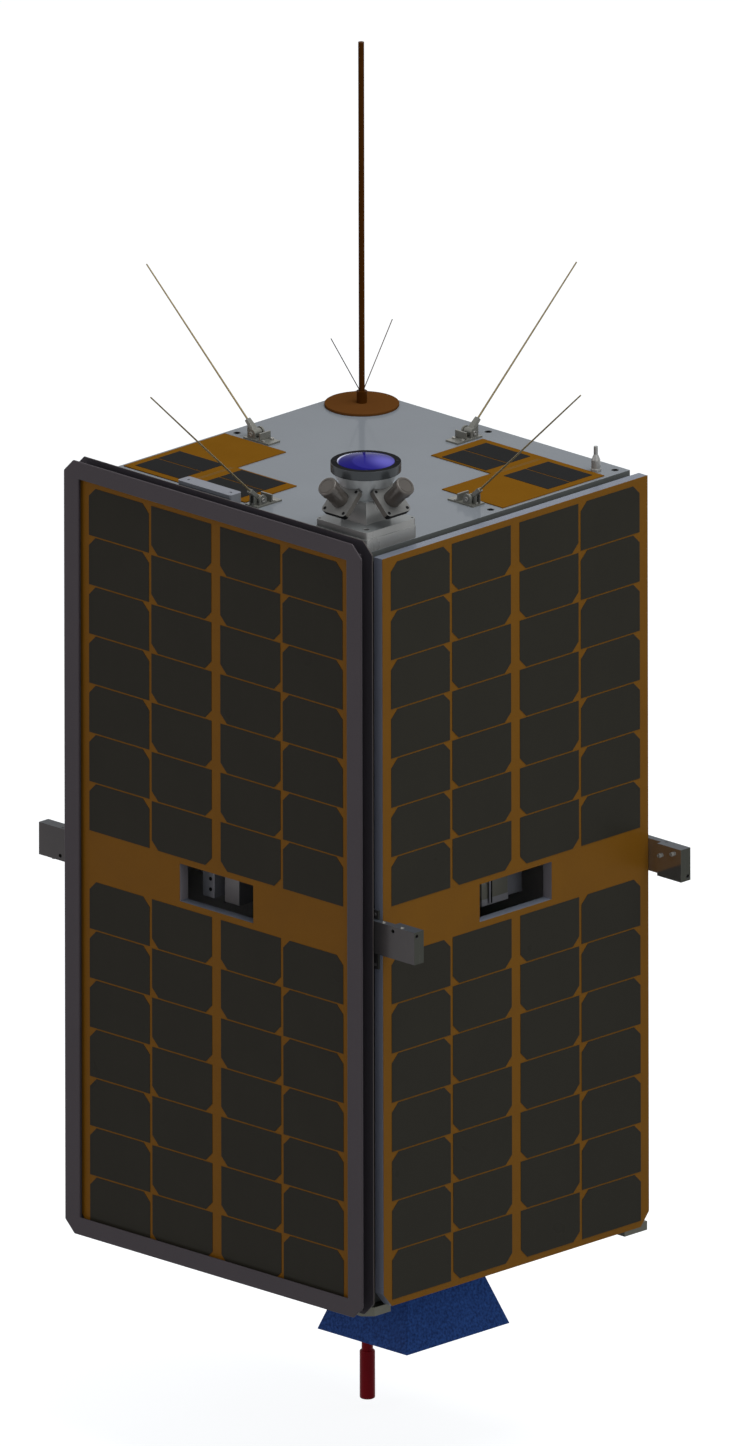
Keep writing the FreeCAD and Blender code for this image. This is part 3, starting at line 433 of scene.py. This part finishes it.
plate_screw_metal = surface("dull screw steel", srgb(104, 103, 103), srgb(88, 87, 87), rough=0.4,
                            grain=0.0003, speckle=0.6, cloud=0.6, cloud_size=0.004,
                            bump=0.01, metal=0.3, specular=0.1)
lug_end_painted_shade = surface("lug end with painted shade", srgb(72, 73, 67), srgb(62, 63, 57), rough=0.4, grain=0.0005,
                   speckle=0.7, cloud=0.6, cloud_size=0.01, bump=0.015, metal=0.2, specular=0.05)
for node, name, metal in (("lug_arms", "lug_arms_machined", lug_metal),
                          ("lug_pads", "lug_pads_polished", pad_metal)):
    lug = eased(node, name, 0.0004, metal)
    # the faces that look toward the body's middle plane are polished
    second_coat(lug, pad_metal, lambda face: face.normal.y * face.center.y < -0.1)
    # the end faces take a darker greenish grey: painted shade
    second_coat(lug, lug_end_painted_shade, lambda face: abs(face.normal.x) > 0.9)
    # the top and bottom faces take a darker blue grey: painted shade
    second_coat(lug, lug_top_bottom_painted_shade, lambda face: abs(face.normal.z) > 0.9)
LUG_MIDDLE = 0.3155          # height of a lug's middle
ARM_SHIFT, PLATE_SHIFT = 0.0009, 0.0026      # arm and plate off it, opposite ways
ARM_HALF = 0.0137            # half the arm's height
PLATE_FACE, PAD_FACE = 0.1545, 0.1479        # outer faces from the middle
PAD_SCREWS = ((0.1883, -0.0042), (0.2023, -0.0085))      # sideways, and up the arm
PLATE_SCREW_OUTER, PLATE_SCREW_INNER, PLATE_SCREW_RISE = 0.1635, 0.1464, 0.02115
EDGE_SCREWS, EDGE_SCREW_Y = (0.1757, 0.1966), 0.1570
EDGE_PLUG = (0.1875, 0.1558)
pad_screws, plate_screws, edge_screws, edge_plugs = [], [], [], []
for sx, sy, up in ((-1, -1, -1), (-1, 1, 1), (1, -1, 1), (1, 1, -1)):
    arm_z = LUG_MIDDLE + up * ARM_SHIFT
    plate_z = LUG_MIDDLE - up * PLATE_SHIFT
    pad_screws += [((sx * x, sy * PAD_FACE, arm_z + up * rise), (0, -sy, 0))
                   for x, rise in PAD_SCREWS]
    screw_xs = (PLATE_SCREW_OUTER, PLATE_SCREW_INNER) if sx > 0 else (PLATE_SCREW_INNER,)
    plate_screws += [((sx * x, sy * PLATE_FACE, plate_z + rise), (0, sy, 0))
                     for x in screw_xs for rise in (-PLATE_SCREW_RISE, PLATE_SCREW_RISE)]
    edge_screws += [((sx * x, sy * EDGE_SCREW_Y, arm_z + up * ARM_HALF), (0, 0, up))
                    for x in EDGE_SCREWS]
    edge_plugs.append(((sx * EDGE_PLUG[0], sy * EDGE_PLUG[1], arm_z - up * ARM_HALF),
                       (0, 0, -up)))
set_in("lug_pad_screws", cap_screw(0.0018, 0.0022), pad_screws, screw_metal)
set_in("lug_plate_screws", cap_screw(0.0013, 0.0008), plate_screws, plate_screw_metal)
set_in("lug_edge_screws", cap_screw(0.0016, 0.0008), edge_screws, screw_metal)
set_in("lug_edge_plugs", cap_screw(0.0013, 0.0002), edge_plugs, post_metal)

# ------------------------------------------------------------ nadir horn
# The horn is a welded aluminium funnel on a screwed flange under the deck,
# sprayed a speckled mid blue inside and out.
horn_paint = surface("speckled blue paint", srgb(52, 92, 166), srgb(24, 48, 100), rough=0.5,
                     grain=0.0021, speckle=2.0, cloud=0.4, spread=0.1, bump=0.2, specular=0.06)
eased("nadir_horn", "horn_funnel", 0.0006, horn_paint)
eased("horn_flange", "horn_collar", 0.0005, horn_paint)
HORN_AT = (0.053, 0.001)
HORN_SCREW_AT = (0.0325, 0.03825)    # from the horn's middle
COLLAR_UNDER = -0.004
set_in("horn_screws", cap_screw(0.0028, 0.0026),
       [((HORN_AT[0] + sx * HORN_SCREW_AT[0], HORN_AT[1] + sy * HORN_SCREW_AT[1], COLLAR_UNDER),
         (0, 0, -1)) for sx in (-1, 1) for sy in (-1, 1)], screw_metal)

# -------------------------------------------------------- sleeve antenna
# A dark red sprayed rod hangs from a round foot on the deck, with a fatter
# sleeve over its lower end.
red_paint = surface("dark red paint", srgb(134, 22, 32), srgb(116, 14, 22), rough=0.35,
                    grain=0.0008, speckle=0.7, cloud=0.6, cloud_size=0.02, bump=0.03,
                    specular=0.06)
for node in ("sleeve_antenna_stem", "sleeve_antenna_tip"):
    wear(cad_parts[node], red_paint)

# ------------------------------------------------------------------- mast
# The mast is a slim copper coloured rod with a hub, on a lacquered round
# disc, and has two stray wires near its foot.
disc_lacquer = surface("copper lacquer", srgb(96, 60, 28), srgb(88, 54, 24), rough=0.15,
                       grain=0.0010, speckle=0.6, cloud=0.7, cloud_size=0.02, bump=0.002,
                       specular=0.0)
rod_copper = surface("dark copper", srgb(74, 40, 8), srgb(60, 31, 5), rough=0.35, grain=0.0006,
                     speckle=0.6, cloud=0.8, cloud_size=0.01, bump=0.02, specular=0.01)
eased("mast_disc", "mast_foot_disc", 0.0005, disc_lacquer, sharpest=50)
wear(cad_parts["mast_rod"], rod_copper)
wire_metal = surface("bare wire", srgb(96, 84, 74), srgb(70, 60, 52), rough=0.35, grain=0.0003,
                     speckle=0.5, cloud=0.7, cloud_size=0.004, bump=0.005, metal=0.8)
wear(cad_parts["mast_wires"], wire_metal)

# -------------------------------------------------------------- lens head
# A milled aluminium housing is bolted down at the front right corner. It
# carries a wide violet coated lens in a black ring on a turned cone, and two
# small sun sensors on sloping plates.
HEAD_AT = (0.1216, -0.1216)
CONE_LOW = 0.0335            # the cone's foot above the deck
head_metal = surface("milled aluminium", srgb(154, 154, 152), srgb(140, 140, 138), rough=0.28,
                     grain=0.0006, speckle=0.5, cloud=0.7, cloud_size=0.02, spread=0.1,
                     bump=0.005, metal=0.35, specular=0.2)
cone_painted_light = surface("turned cone with painted light", srgb(206, 209, 210), srgb(192, 195, 196), rough=0.2,
                     grain=0.0006, speckle=0.4, cloud=0.5, cloud_size=0.02, spread=0.05,
                     bump=0.003, metal=0.2, specular=0.3)
plate_metal = surface("satin sensor plate", srgb(118, 118, 116), srgb(104, 104, 102), rough=0.35,
                      grain=0.0006, speckle=0.5, cloud=0.7, cloud_size=0.02, spread=0.1,
                      bump=0.005, metal=0.3, specular=0.1)
plate_edge = surface("sawn plate edge", srgb(102, 99, 94), srgb(90, 87, 83), rough=0.45,
                     grain=0.0006, speckle=0.5, cloud=0.7, cloud_size=0.02, bump=0.005,
                     specular=0.05)
base_top_painted_shade = surface("base top with painted shade", srgb(120, 123, 123), srgb(110, 113, 113), rough=0.3,
                   grain=0.0006, speckle=0.5, cloud=0.7, cloud_size=0.02, bump=0.005,
                   metal=0.1, specular=0.1)
head_base = eased("lens_head_base", "head_base", 0.0004, head_metal)
# the base's top faces take a darker grey than its sides: painted shade
second_coat(head_base, base_top_painted_shade, lambda face: face.normal.z > 0.9)
housing = eased("lens_head_body", "head_body", 0.0003, head_metal)
# the cone under the ring takes a lighter grey than the housing below it: painted light where the
# ring shades it
second_coat(housing, cone_painted_light, lambda face: face.center.z > TOP + CONE_LOW)
sensor_plates = eased("sun_sensor_plates", "sensor_plates", 0.0004, plate_metal)
second_coat(sensor_plates, plate_edge, lambda face: face.normal.z < 0.5)
# the plates' downward edges are painted black: painted shade under the plates
second_coat(sensor_plates, black_steel_and_painted_shade, lambda face: face.normal.z < -0.3)
barrel_metal = surface("brownish anodised barrel", srgb(84, 79, 74), srgb(74, 70, 66),
                       rough=0.22, grain=0.0005, speckle=0.5, cloud=0.6, cloud_size=0.01,
                       bump=0.005, metal=0.15, specular=0.3)
eased("sun_sensor_barrels", "sensor_barrels", 0.0003, barrel_metal, sharpest=50)
ring_paint = surface("black anodised ring", srgb(70, 73, 75), srgb(60, 63, 65), rough=0.25,
                     grain=0.0006, speckle=0.6, cloud=0.6, cloud_size=0.02, bump=0.005,
                     metal=0.4, specular=0.1)
ring_top = surface("black ring rim", srgb(40, 40, 41), srgb(30, 30, 31), rough=0.4, grain=0.0006,
                   speckle=0.6, cloud=0.8, cloud_size=0.02, bump=0.005, specular=0.0)
rim = eased("lens_ring", "lens_rim", 0.0005, ring_paint, sharpest=50)
second_coat(rim, ring_top, lambda face: face.normal.z > 0.6)


def lens_with_painted_reflections(name, deep, pale, bright, glare, middle):
    """Violet coating with a painted reflection that pales it toward one side, and a painted soft
    glare inside the far rim.
    """
    material = surface(name, deep, deep, rough=0.05, grain=0.002, speckle=0.2, cloud=0.6,
                       cloud_size=0.02, spread=0.02, bump=0.0, specular=0.008)
    nodes, links = material.node_tree.nodes, material.node_tree.links
    shader = nodes["Principled BSDF"]
    place = nodes.new("ShaderNodeTexCoord")
    colour = shader.inputs["Base Color"].links[0].from_socket
    # painted reflections: tint, centre of the patch from the lens's middle, radius where it fades
    # in and out
    for tint, shift, inner, outer in ((pale, (0.0075, -0.0004), 0.0170, 0.0150),
                                      (bright, (0.0150, 0.0080), 0.0190, 0.0020),
                                      (glare, (0.0075, 0.0005), 0.0272, 0.0300)):
        away = nodes.new("ShaderNodeVectorMath")
        away.operation = "DISTANCE"
        away.inputs[1].default_value = (middle[0] + shift[0], middle[1] + shift[1], middle[2])
        flat = nodes.new("ShaderNodeVectorMath")
        flat.operation = "MULTIPLY_ADD"
        flat.inputs[1].default_value = (1, 1, 0)
        flat.inputs[2].default_value = (0, 0, middle[2])
        links.new(place.outputs["Object"], flat.inputs[0])
        links.new(flat.outputs["Vector"], away.inputs[0])
        fade = nodes.new("ShaderNodeMapRange")
        fade.interpolation_type = "SMOOTHSTEP"
        fade.inputs["From Min"].default_value = inner
        fade.inputs["From Max"].default_value = outer
        links.new(away.outputs["Value"], fade.inputs["Value"])
        mix = nodes.new("ShaderNodeMix")
        mix.data_type = "RGBA"
        mix.inputs["B"].default_value = tint
        links.new(fade.outputs["Result"], mix.inputs["Factor"])
        links.new(colour, mix.inputs["A"])
        colour = mix.outputs["Result"]
    links.new(colour, shader.inputs["Base Color"])
    return material


LENS_UP = 0.0678             # the lens's middle above the deck
# the lens's paler patches and the glare at its rim are painted reflections
lens_coating_and_reflections = lens_with_painted_reflections("violet lens with painted reflections", srgb(26, 22, 104), srgb(42, 38, 122),
                          srgb(92, 88, 172), srgb(214, 216, 238), (*HEAD_AT, TOP + LENS_UP))
wear(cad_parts["lens"], lens_coating_and_reflections)
# set screws in the ring, plate screws and base screws, all black; a rim on each cap
RING_SCREW_AT, RING_UP = 0.0251, 0.0648
ring_screws = [((HEAD_AT[0] + RING_SCREW_AT * sin(turn), HEAD_AT[1] - RING_SCREW_AT * cos(turn),
                 TOP + RING_UP), (0, 0, 1))
               for turn in (pi / 4, 3 * pi / 4, 5 * pi / 4, 7 * pi / 4)]
set_in("lens_ring_screws", cap_screw(0.0011, 0.0003), ring_screws, black_steel_and_painted_shade)
SUN_OUT, SUN_UP = 0.0292, 0.0386     # a sensor plate's face from the head's middle
SUN_SCREW_AT = 0.0104                # its screws from its own middle
BARREL_TALL = 0.0225
sensor_screws, cap_rims = [], []
for out in (Vector((1, 0, 0)), Vector((0, -1, 0))):
    normal = (out + Vector((0, 0, 1))).normalized()
    across = out.cross(Vector((0, 0, 1)))
    slope = across.cross(normal)
    seat = Vector((*HEAD_AT, TOP)) + out * SUN_OUT + Vector((0, 0, SUN_UP))
    sensor_screws += [(seat + across * i * SUN_SCREW_AT + slope * j * SUN_SCREW_AT, normal)
                      for i in (-1, 1) for j in (-1, 1)]
    cap_rims.append((seat + normal * BARREL_TALL, normal))
set_in("sensor_plate_screws", cap_screw(0.0014, 0.0003), sensor_screws, black_steel_and_painted_shade)
CAP_RIM_TALL = 0.0003
cap_rim = turned_shape(((0.0066, 0, 0), (0.0065, CAP_RIM_TALL, 0), (0.0056, CAP_RIM_TALL, 0),
                        (0.0055, 0, 0)), hollow=True)
set_in("sensor_cap_rims", cap_rim, cap_rims, barrel_metal)
BASE_SCREW_AT, BASE_UP = 0.0263, 0.0162
set_in("head_base_screws", cap_screw(0.0010, 0.0006),
       [((HEAD_AT[0] + sx * BASE_SCREW_AT, HEAD_AT[1] + sy * BASE_SCREW_AT, TOP + BASE_UP),
         (0, 0, 1)) for sx, sy in ((-1, -1), (-1, 1), (1, 1))], black_steel_and_painted_shade)
BOLT_SEAT_UP = 0.0128        # the corner bolt sits down its hole
set_in("head_corner_bolt", cap_screw(0.0025, 0.0030),
       [((HOLE_AT, -HOLE_AT, TOP + BOLT_SEAT_UP), (0, 0, 1))], black_steel_and_painted_shade)

# ------------------------------------------------------ deck solar sheets
# Two L-shaped sheets of the same amber film lie on the deck, each with four
# small cells and a pair of fine traces running between them.
deck_film = surface("deck amber film", srgb(120, 81, 22), srgb(111, 74, 18), rough=0.4,
                    grain=0.0010, speckle=0.7, cloud=0.9, cloud_size=0.03, spread=0.15,
                    bump=0.02, specular=0.0)
deck_cell = cell_glass("deck cell under glass", srgb(43, 43, 43), srgb(39, 39, 39),
                       srgb(48, 48, 47))
deck_cell_shader = deck_cell.node_tree.nodes["Principled BSDF"]
deck_cell_shader.inputs["Specular IOR Level"].default_value = 0.0
wear(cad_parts["deck_solar_sheets"], deck_film)
wear(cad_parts["deck_solar_cells"], deck_cell)
trace_grey = surface("trace grey", srgb(118, 98, 66), srgb(100, 84, 56), rough=0.5, grain=0.0006,
                     speckle=0.5, cloud=0.5, bump=0.005, specular=0.0)
TRACES_AT, TRACE_HALF_GAP = (0.081, 0.0935), 0.0011
TRACE_SIZE, TRACE_UP = (0.0006, 0.051, 0.00006), 0.00083
traces = bmesh.new()
for sign in (-1, 1):
    for shift in (-TRACE_HALF_GAP, TRACE_HALF_GAP):
        middle = Matrix.Translation((sign * (TRACES_AT[0] + shift), sign * TRACES_AT[1],
                                     TOP + TRACE_UP))
        bmesh.ops.create_cube(traces, size=1.0, matrix=middle @ Matrix.Diagonal((*TRACE_SIZE, 1)))
set_in("deck_sheet_traces", traces, [((0, 0, 0), (0, 0, 1))], trace_grey)

# ------------------------------------------------------------------ whips
# Four thin spring steel whips with a brass finish, each on a grey tongue
# that turns in a small steel bracket at the middle of a deck edge. Three
# screws hold each bracket down.
bracket_metal = surface("bracket steel", srgb(122, 122, 116), srgb(108, 108, 102), rough=0.35,
                        grain=0.0004, speckle=0.6, cloud=0.7, cloud_size=0.006, bump=0.01,
                        metal=0.35, specular=0.2)
whip_metal = surface("brass finish", srgb(126, 113, 82), srgb(110, 98, 71), rough=0.35,
                     grain=0.0004, speckle=0.6, cloud=0.7, cloud_size=0.01, bump=0.01, metal=0.5,
                     specular=0.1)
TONGUE_TOP = TOP + 0.0150    # the rod starts here
HINGE_AT, HINGE_UP = 0.1215, 0.0053          # the pin from the middle and above the deck
PIN_HALF = 0.00565
FOOT_PLATE_UP = 0.0015
FOOT_SCREWS = ((-0.0130, 0.0049), (-0.0130, -0.0049), (0.0054, 0.0))   # out from the pin, sideways
for side, angle in (("front", 0), ("right", 90), ("back", 180), ("left", 270)):
    eased("whip_bracket_" + side, "bracket_" + side, 0.0002, bracket_metal)
    whip = eased("whip_" + side, "whip_rod_" + side, 0.0003, whip_metal,
                 body="whip_" + side + "_body", sharpest=50)
    second_coat(whip, bracket_metal, lambda face: face.center.z < TONGUE_TOP)
    out = Vector((sin(radians(angle)), -cos(radians(angle)), 0))
    across = Vector((-out.y, out.x, 0))
    foot_plate = Vector((0, 0, TOP + FOOT_PLATE_UP))
    set_in("bracket_screws_" + side, cap_screw(0.0017, 0.0012),
           [(foot_plate + out * (HINGE_AT + outward) + across * sideways, (0, 0, 1))
            for outward, sideways in FOOT_SCREWS], screw_metal)
    pin = out * HINGE_AT + Vector((0, 0, TOP + HINGE_UP))
    set_in("hinge_pin_ends_" + side, cap_screw(0.0019, 0.0008),
           [(pin + across * PIN_HALF, across), (pin - across * PIN_HALF, -across)],
           screw_metal)

# ---------------------------------------------- stub antenna and edge block
# The stub is turned aluminium in four steps. The connector block by the
# front edge is milled, pale grey on top with its sides a lighter grey as
# painted light, with two holes down its top and two grooves along its front.
eased("stub_antenna", "stub_turned", 0.0003, head_metal, sharpest=50)
block_metal = surface("pale connector block", srgb(120, 123, 133), srgb(107, 110, 119),
                      rough=0.3, grain=0.0005, speckle=0.5, cloud=0.6, cloud_size=0.02,
                      bump=0.01, metal=0.2, specular=0.08)
block_side_painted_light = surface("block side with painted light", srgb(150, 152, 158), srgb(134, 136, 142), rough=0.35,
                     grain=0.0005, speckle=0.5, cloud=0.6, cloud_size=0.02, bump=0.01,
                     metal=0.2, specular=0.08)
# the block's sides take a lighter grey than its top: painted light
second_coat(eased("edge_block", "connector_block", 0.0005, block_metal), block_side_painted_light,
            lambda face: abs(face.normal.z) < 0.5)

# ------------------------------------------------------- equipment inside
# Painted sensor housings hang under the shelf and show through the windows,
# one of them with two sockets. The right pair end in thin skirts and have a
# bright and a dark tube before them. The battery case stands on the bottom
# deck.
box_paint = surface("equipment grey", srgb(112, 111, 112), srgb(96, 96, 97), rough=0.45,
                    grain=0.0006, speckle=0.6, cloud=0.6, cloud_size=0.01, bump=0.03, metal=0.1)
pale_box = surface("pale sensor housing", srgb(166, 166, 172), srgb(150, 150, 156), rough=0.4,
                   grain=0.0005, speckle=0.5, cloud=0.5, cloud_size=0.01, bump=0.02, metal=0.1)
green_box = surface("greenish sensor housing", srgb(133, 132, 121), srgb(120, 119, 109),
                    rough=0.4, grain=0.0005, speckle=0.5, cloud=0.5, cloud_size=0.01,
                    bump=0.02, metal=0.1)
blue_box = surface("blue grey sensor housing", srgb(138, 139, 146), srgb(124, 125, 132),
                   rough=0.4, grain=0.0005, speckle=0.5, cloud=0.5, cloud_size=0.01,
                   bump=0.02, metal=0.1)
PALE_BEFORE = -0.025         # the pale housing lies to the left of this
RIGHT_FROM = 0.09            # the right pair lie beyond this
GREEN_BEFORE = 0.0302        # and the green one before this
housings = eased("equipment_boxes", "equipment_housings", 0.0005, box_paint)
second_coat(housings, pale_box, lambda face: face.center.x < PALE_BEFORE)
second_coat(housings, green_box,
            lambda face: face.center.x > RIGHT_FROM and face.center.y < GREEN_BEFORE)
second_coat(housings, blue_box,
            lambda face: face.center.x > RIGHT_FROM and face.center.y > GREEN_BEFORE)
eased("battery_block", "battery_case", 0.0015, box_paint)
# skirts: name, reach along X, Y and Z, finish
SKIRTS = (("green_housing_skirt", (0.1120, 0.1323), (0.0000, 0.0300), (0.2971, 0.3025), pale_box),
          ("blue_housing_skirt", (0.1020, 0.1281), (0.0305, 0.0505), (0.2983, 0.3004), blue_box))
for name, *spans, paint in SKIRTS:
    skirt = bmesh.new()
    centre = [(low + high) / 2 for low, high in spans]
    bmesh.ops.create_cube(skirt, size=1.0,
                          matrix=Matrix.Diagonal((*[high - low for low, high in spans], 1)))
    set_in(name, skirt, [(centre, (0, 0, 1))], paint)
TUBE_R, TUBE_LONG, TUBE_X, TUBE_END = 0.0008, 0.0525, 0.1340, 0.2990
for name, along, finish in (("bright_tube", 0.0072, pale_box), ("dark_tube", 0.0090, black_steel_and_painted_shade)):
    set_in(name, turned_shape(((TUBE_R, 0, 0), (TUBE_R, TUBE_LONG, 0))),
           [((TUBE_X, along, TUBE_END), (0, 0, 1))], finish)
SOCKET_X, SOCKET_FACE = -0.0343, -0.1421
set_in("housing_sockets", cap_screw(0.0016, 0.0004),
       [((SOCKET_X, SOCKET_FACE, z), (0, -1, 0)) for z in (0.3075, 0.3164)],
       black_steel_and_painted_shade)

# ------------------------------------------------------ floor, light, view
# A wide pale floor just under the sleeve antenna, soft lamps above and a
# parallel view from the front right.
FLOOR_R, FLOOR_AT = 9.0, -0.182      # 6 mm under the sleeve antenna's tip
floor_mesh = bpy.data.meshes.new("floor")
round_floor = bmesh.new()
bmesh.ops.create_circle(round_floor, cap_ends=True, segments=96, radius=FLOOR_R)
round_floor.to_mesh(floor_mesh)
round_floor.free()
floor = bpy.data.objects.new("floor", floor_mesh)
floor.location = (0, 0, FLOOR_AT)
bpy.context.scene.collection.objects.link(floor)


def seen_rays(nodes, links):
    """1 for camera, glossy and transmission rays."""
    rays = nodes.new("ShaderNodeLightPath")
    total = rays.outputs["Is Camera Ray"]
    for other in ("Is Glossy Ray", "Is Transmission Ray"):
        step = nodes.new("ShaderNodeMath")
        step.operation = "MAXIMUM"
        links.new(total, step.inputs[0])
        links.new(rays.outputs[other], step.inputs[1])
        total = step.outputs[0]
    return total


paper = bpy.data.materials.new("pale floor")
paper.use_nodes = True
nodes, links = paper.node_tree.nodes, paper.node_tree.links
nodes["Principled BSDF"].inputs["Base Color"].default_value = (0.35, 0.35, 0.35, 1)
nodes["Principled BSDF"].inputs["Roughness"].default_value = 0.9
nodes["Principled BSDF"].inputs["Specular IOR Level"].default_value = 0.0
lift = nodes.new("ShaderNodeEmission")
lift.inputs["Color"].default_value = (0.86, 0.87, 0.88, 1)
links.new(seen_rays(nodes, links), lift.inputs["Strength"])
both = nodes.new("ShaderNodeAddShader")
links.new(nodes["Principled BSDF"].outputs[0], both.inputs[0])
links.new(lift.outputs[0], both.inputs[1])
clear = nodes.new("ShaderNodeBsdfTransparent")
side_seen = nodes.new("ShaderNodeNewGeometry")
choose = nodes.new("ShaderNodeMixShader")
links.new(side_seen.outputs["Backfacing"], choose.inputs["Fac"])
links.new(both.outputs[0], choose.inputs[1])
links.new(clear.outputs[0], choose.inputs[2])
links.new(choose.outputs[0], nodes["Material Output"].inputs["Surface"])
floor_mesh.materials.append(paper)

world = bpy.data.worlds.new("studio")
world.use_nodes = True
bpy.context.scene.world = world
nodes, links = world.node_tree.nodes, world.node_tree.links
nodes["Background"].inputs["Color"].default_value = (0.9, 0.95, 1.0, 1)
nodes["Background"].inputs["Strength"].default_value = 0.35
white = nodes.new("ShaderNodeBackground")
white.inputs["Color"].default_value = (1, 1, 1, 1)
choose = nodes.new("ShaderNodeMixShader")
links.new(seen_rays(nodes, links), choose.inputs["Fac"])
links.new(nodes["Background"].outputs[0], choose.inputs[1])
links.new(white.outputs[0], choose.inputs[2])
links.new(choose.outputs[0], nodes["World Output"].inputs["Surface"])


def lamp(name, position, size, power, colour=(1, 1, 1)):
    light = bpy.data.lights.new(name, "AREA")
    light.shape = "DISK"
    light.size = size
    light.energy = power
    light.color = colour
    holder = bpy.data.objects.new(name, light)
    holder.location = position
    aim = Vector((0, 0, 0.3)) - holder.location
    holder.rotation_euler = aim.to_track_quat("-Z", "Y").to_euler()
    bpy.context.scene.collection.objects.link(holder)


lamp("overhead", (0.9, 0.2, 3.2), 2.4, 62)
lamp("right fill", (3.2, -0.4, 1.4), 1.6, 14)
lamp("left fill", (-1.2, -3.0, 0.9), 1.6, 15.5, (1.0, 0.86, 0.87))

camera = bpy.data.objects.new("camera", bpy.data.cameras.new("camera"))
bpy.context.scene.collection.objects.link(camera)
VIEW_TURN, VIEW_RISE, VIEW_FAR = radians(44.48), radians(18.06), 6.0
VIEW_ROLL, VIEW_WIDE = -0.0020, 1.1643
AIM = Vector((0.00494, 0.00485, 0.4228))
back = Vector((sin(VIEW_TURN) * cos(VIEW_RISE), -cos(VIEW_TURN) * cos(VIEW_RISE), sin(VIEW_RISE)))
camera.location = AIM + back * VIEW_FAR
roll = Quaternion((0, 0, 1), VIEW_ROLL)
camera.rotation_euler = ((-back).to_track_quat("-Z", "Y") @ roll).to_euler()
camera.data.type = "ORTHO"
camera.data.ortho_scale = VIEW_WIDE
bpy.context.scene.camera = camera
bpy.context.scene.view_settings.view_transform = "Standard"
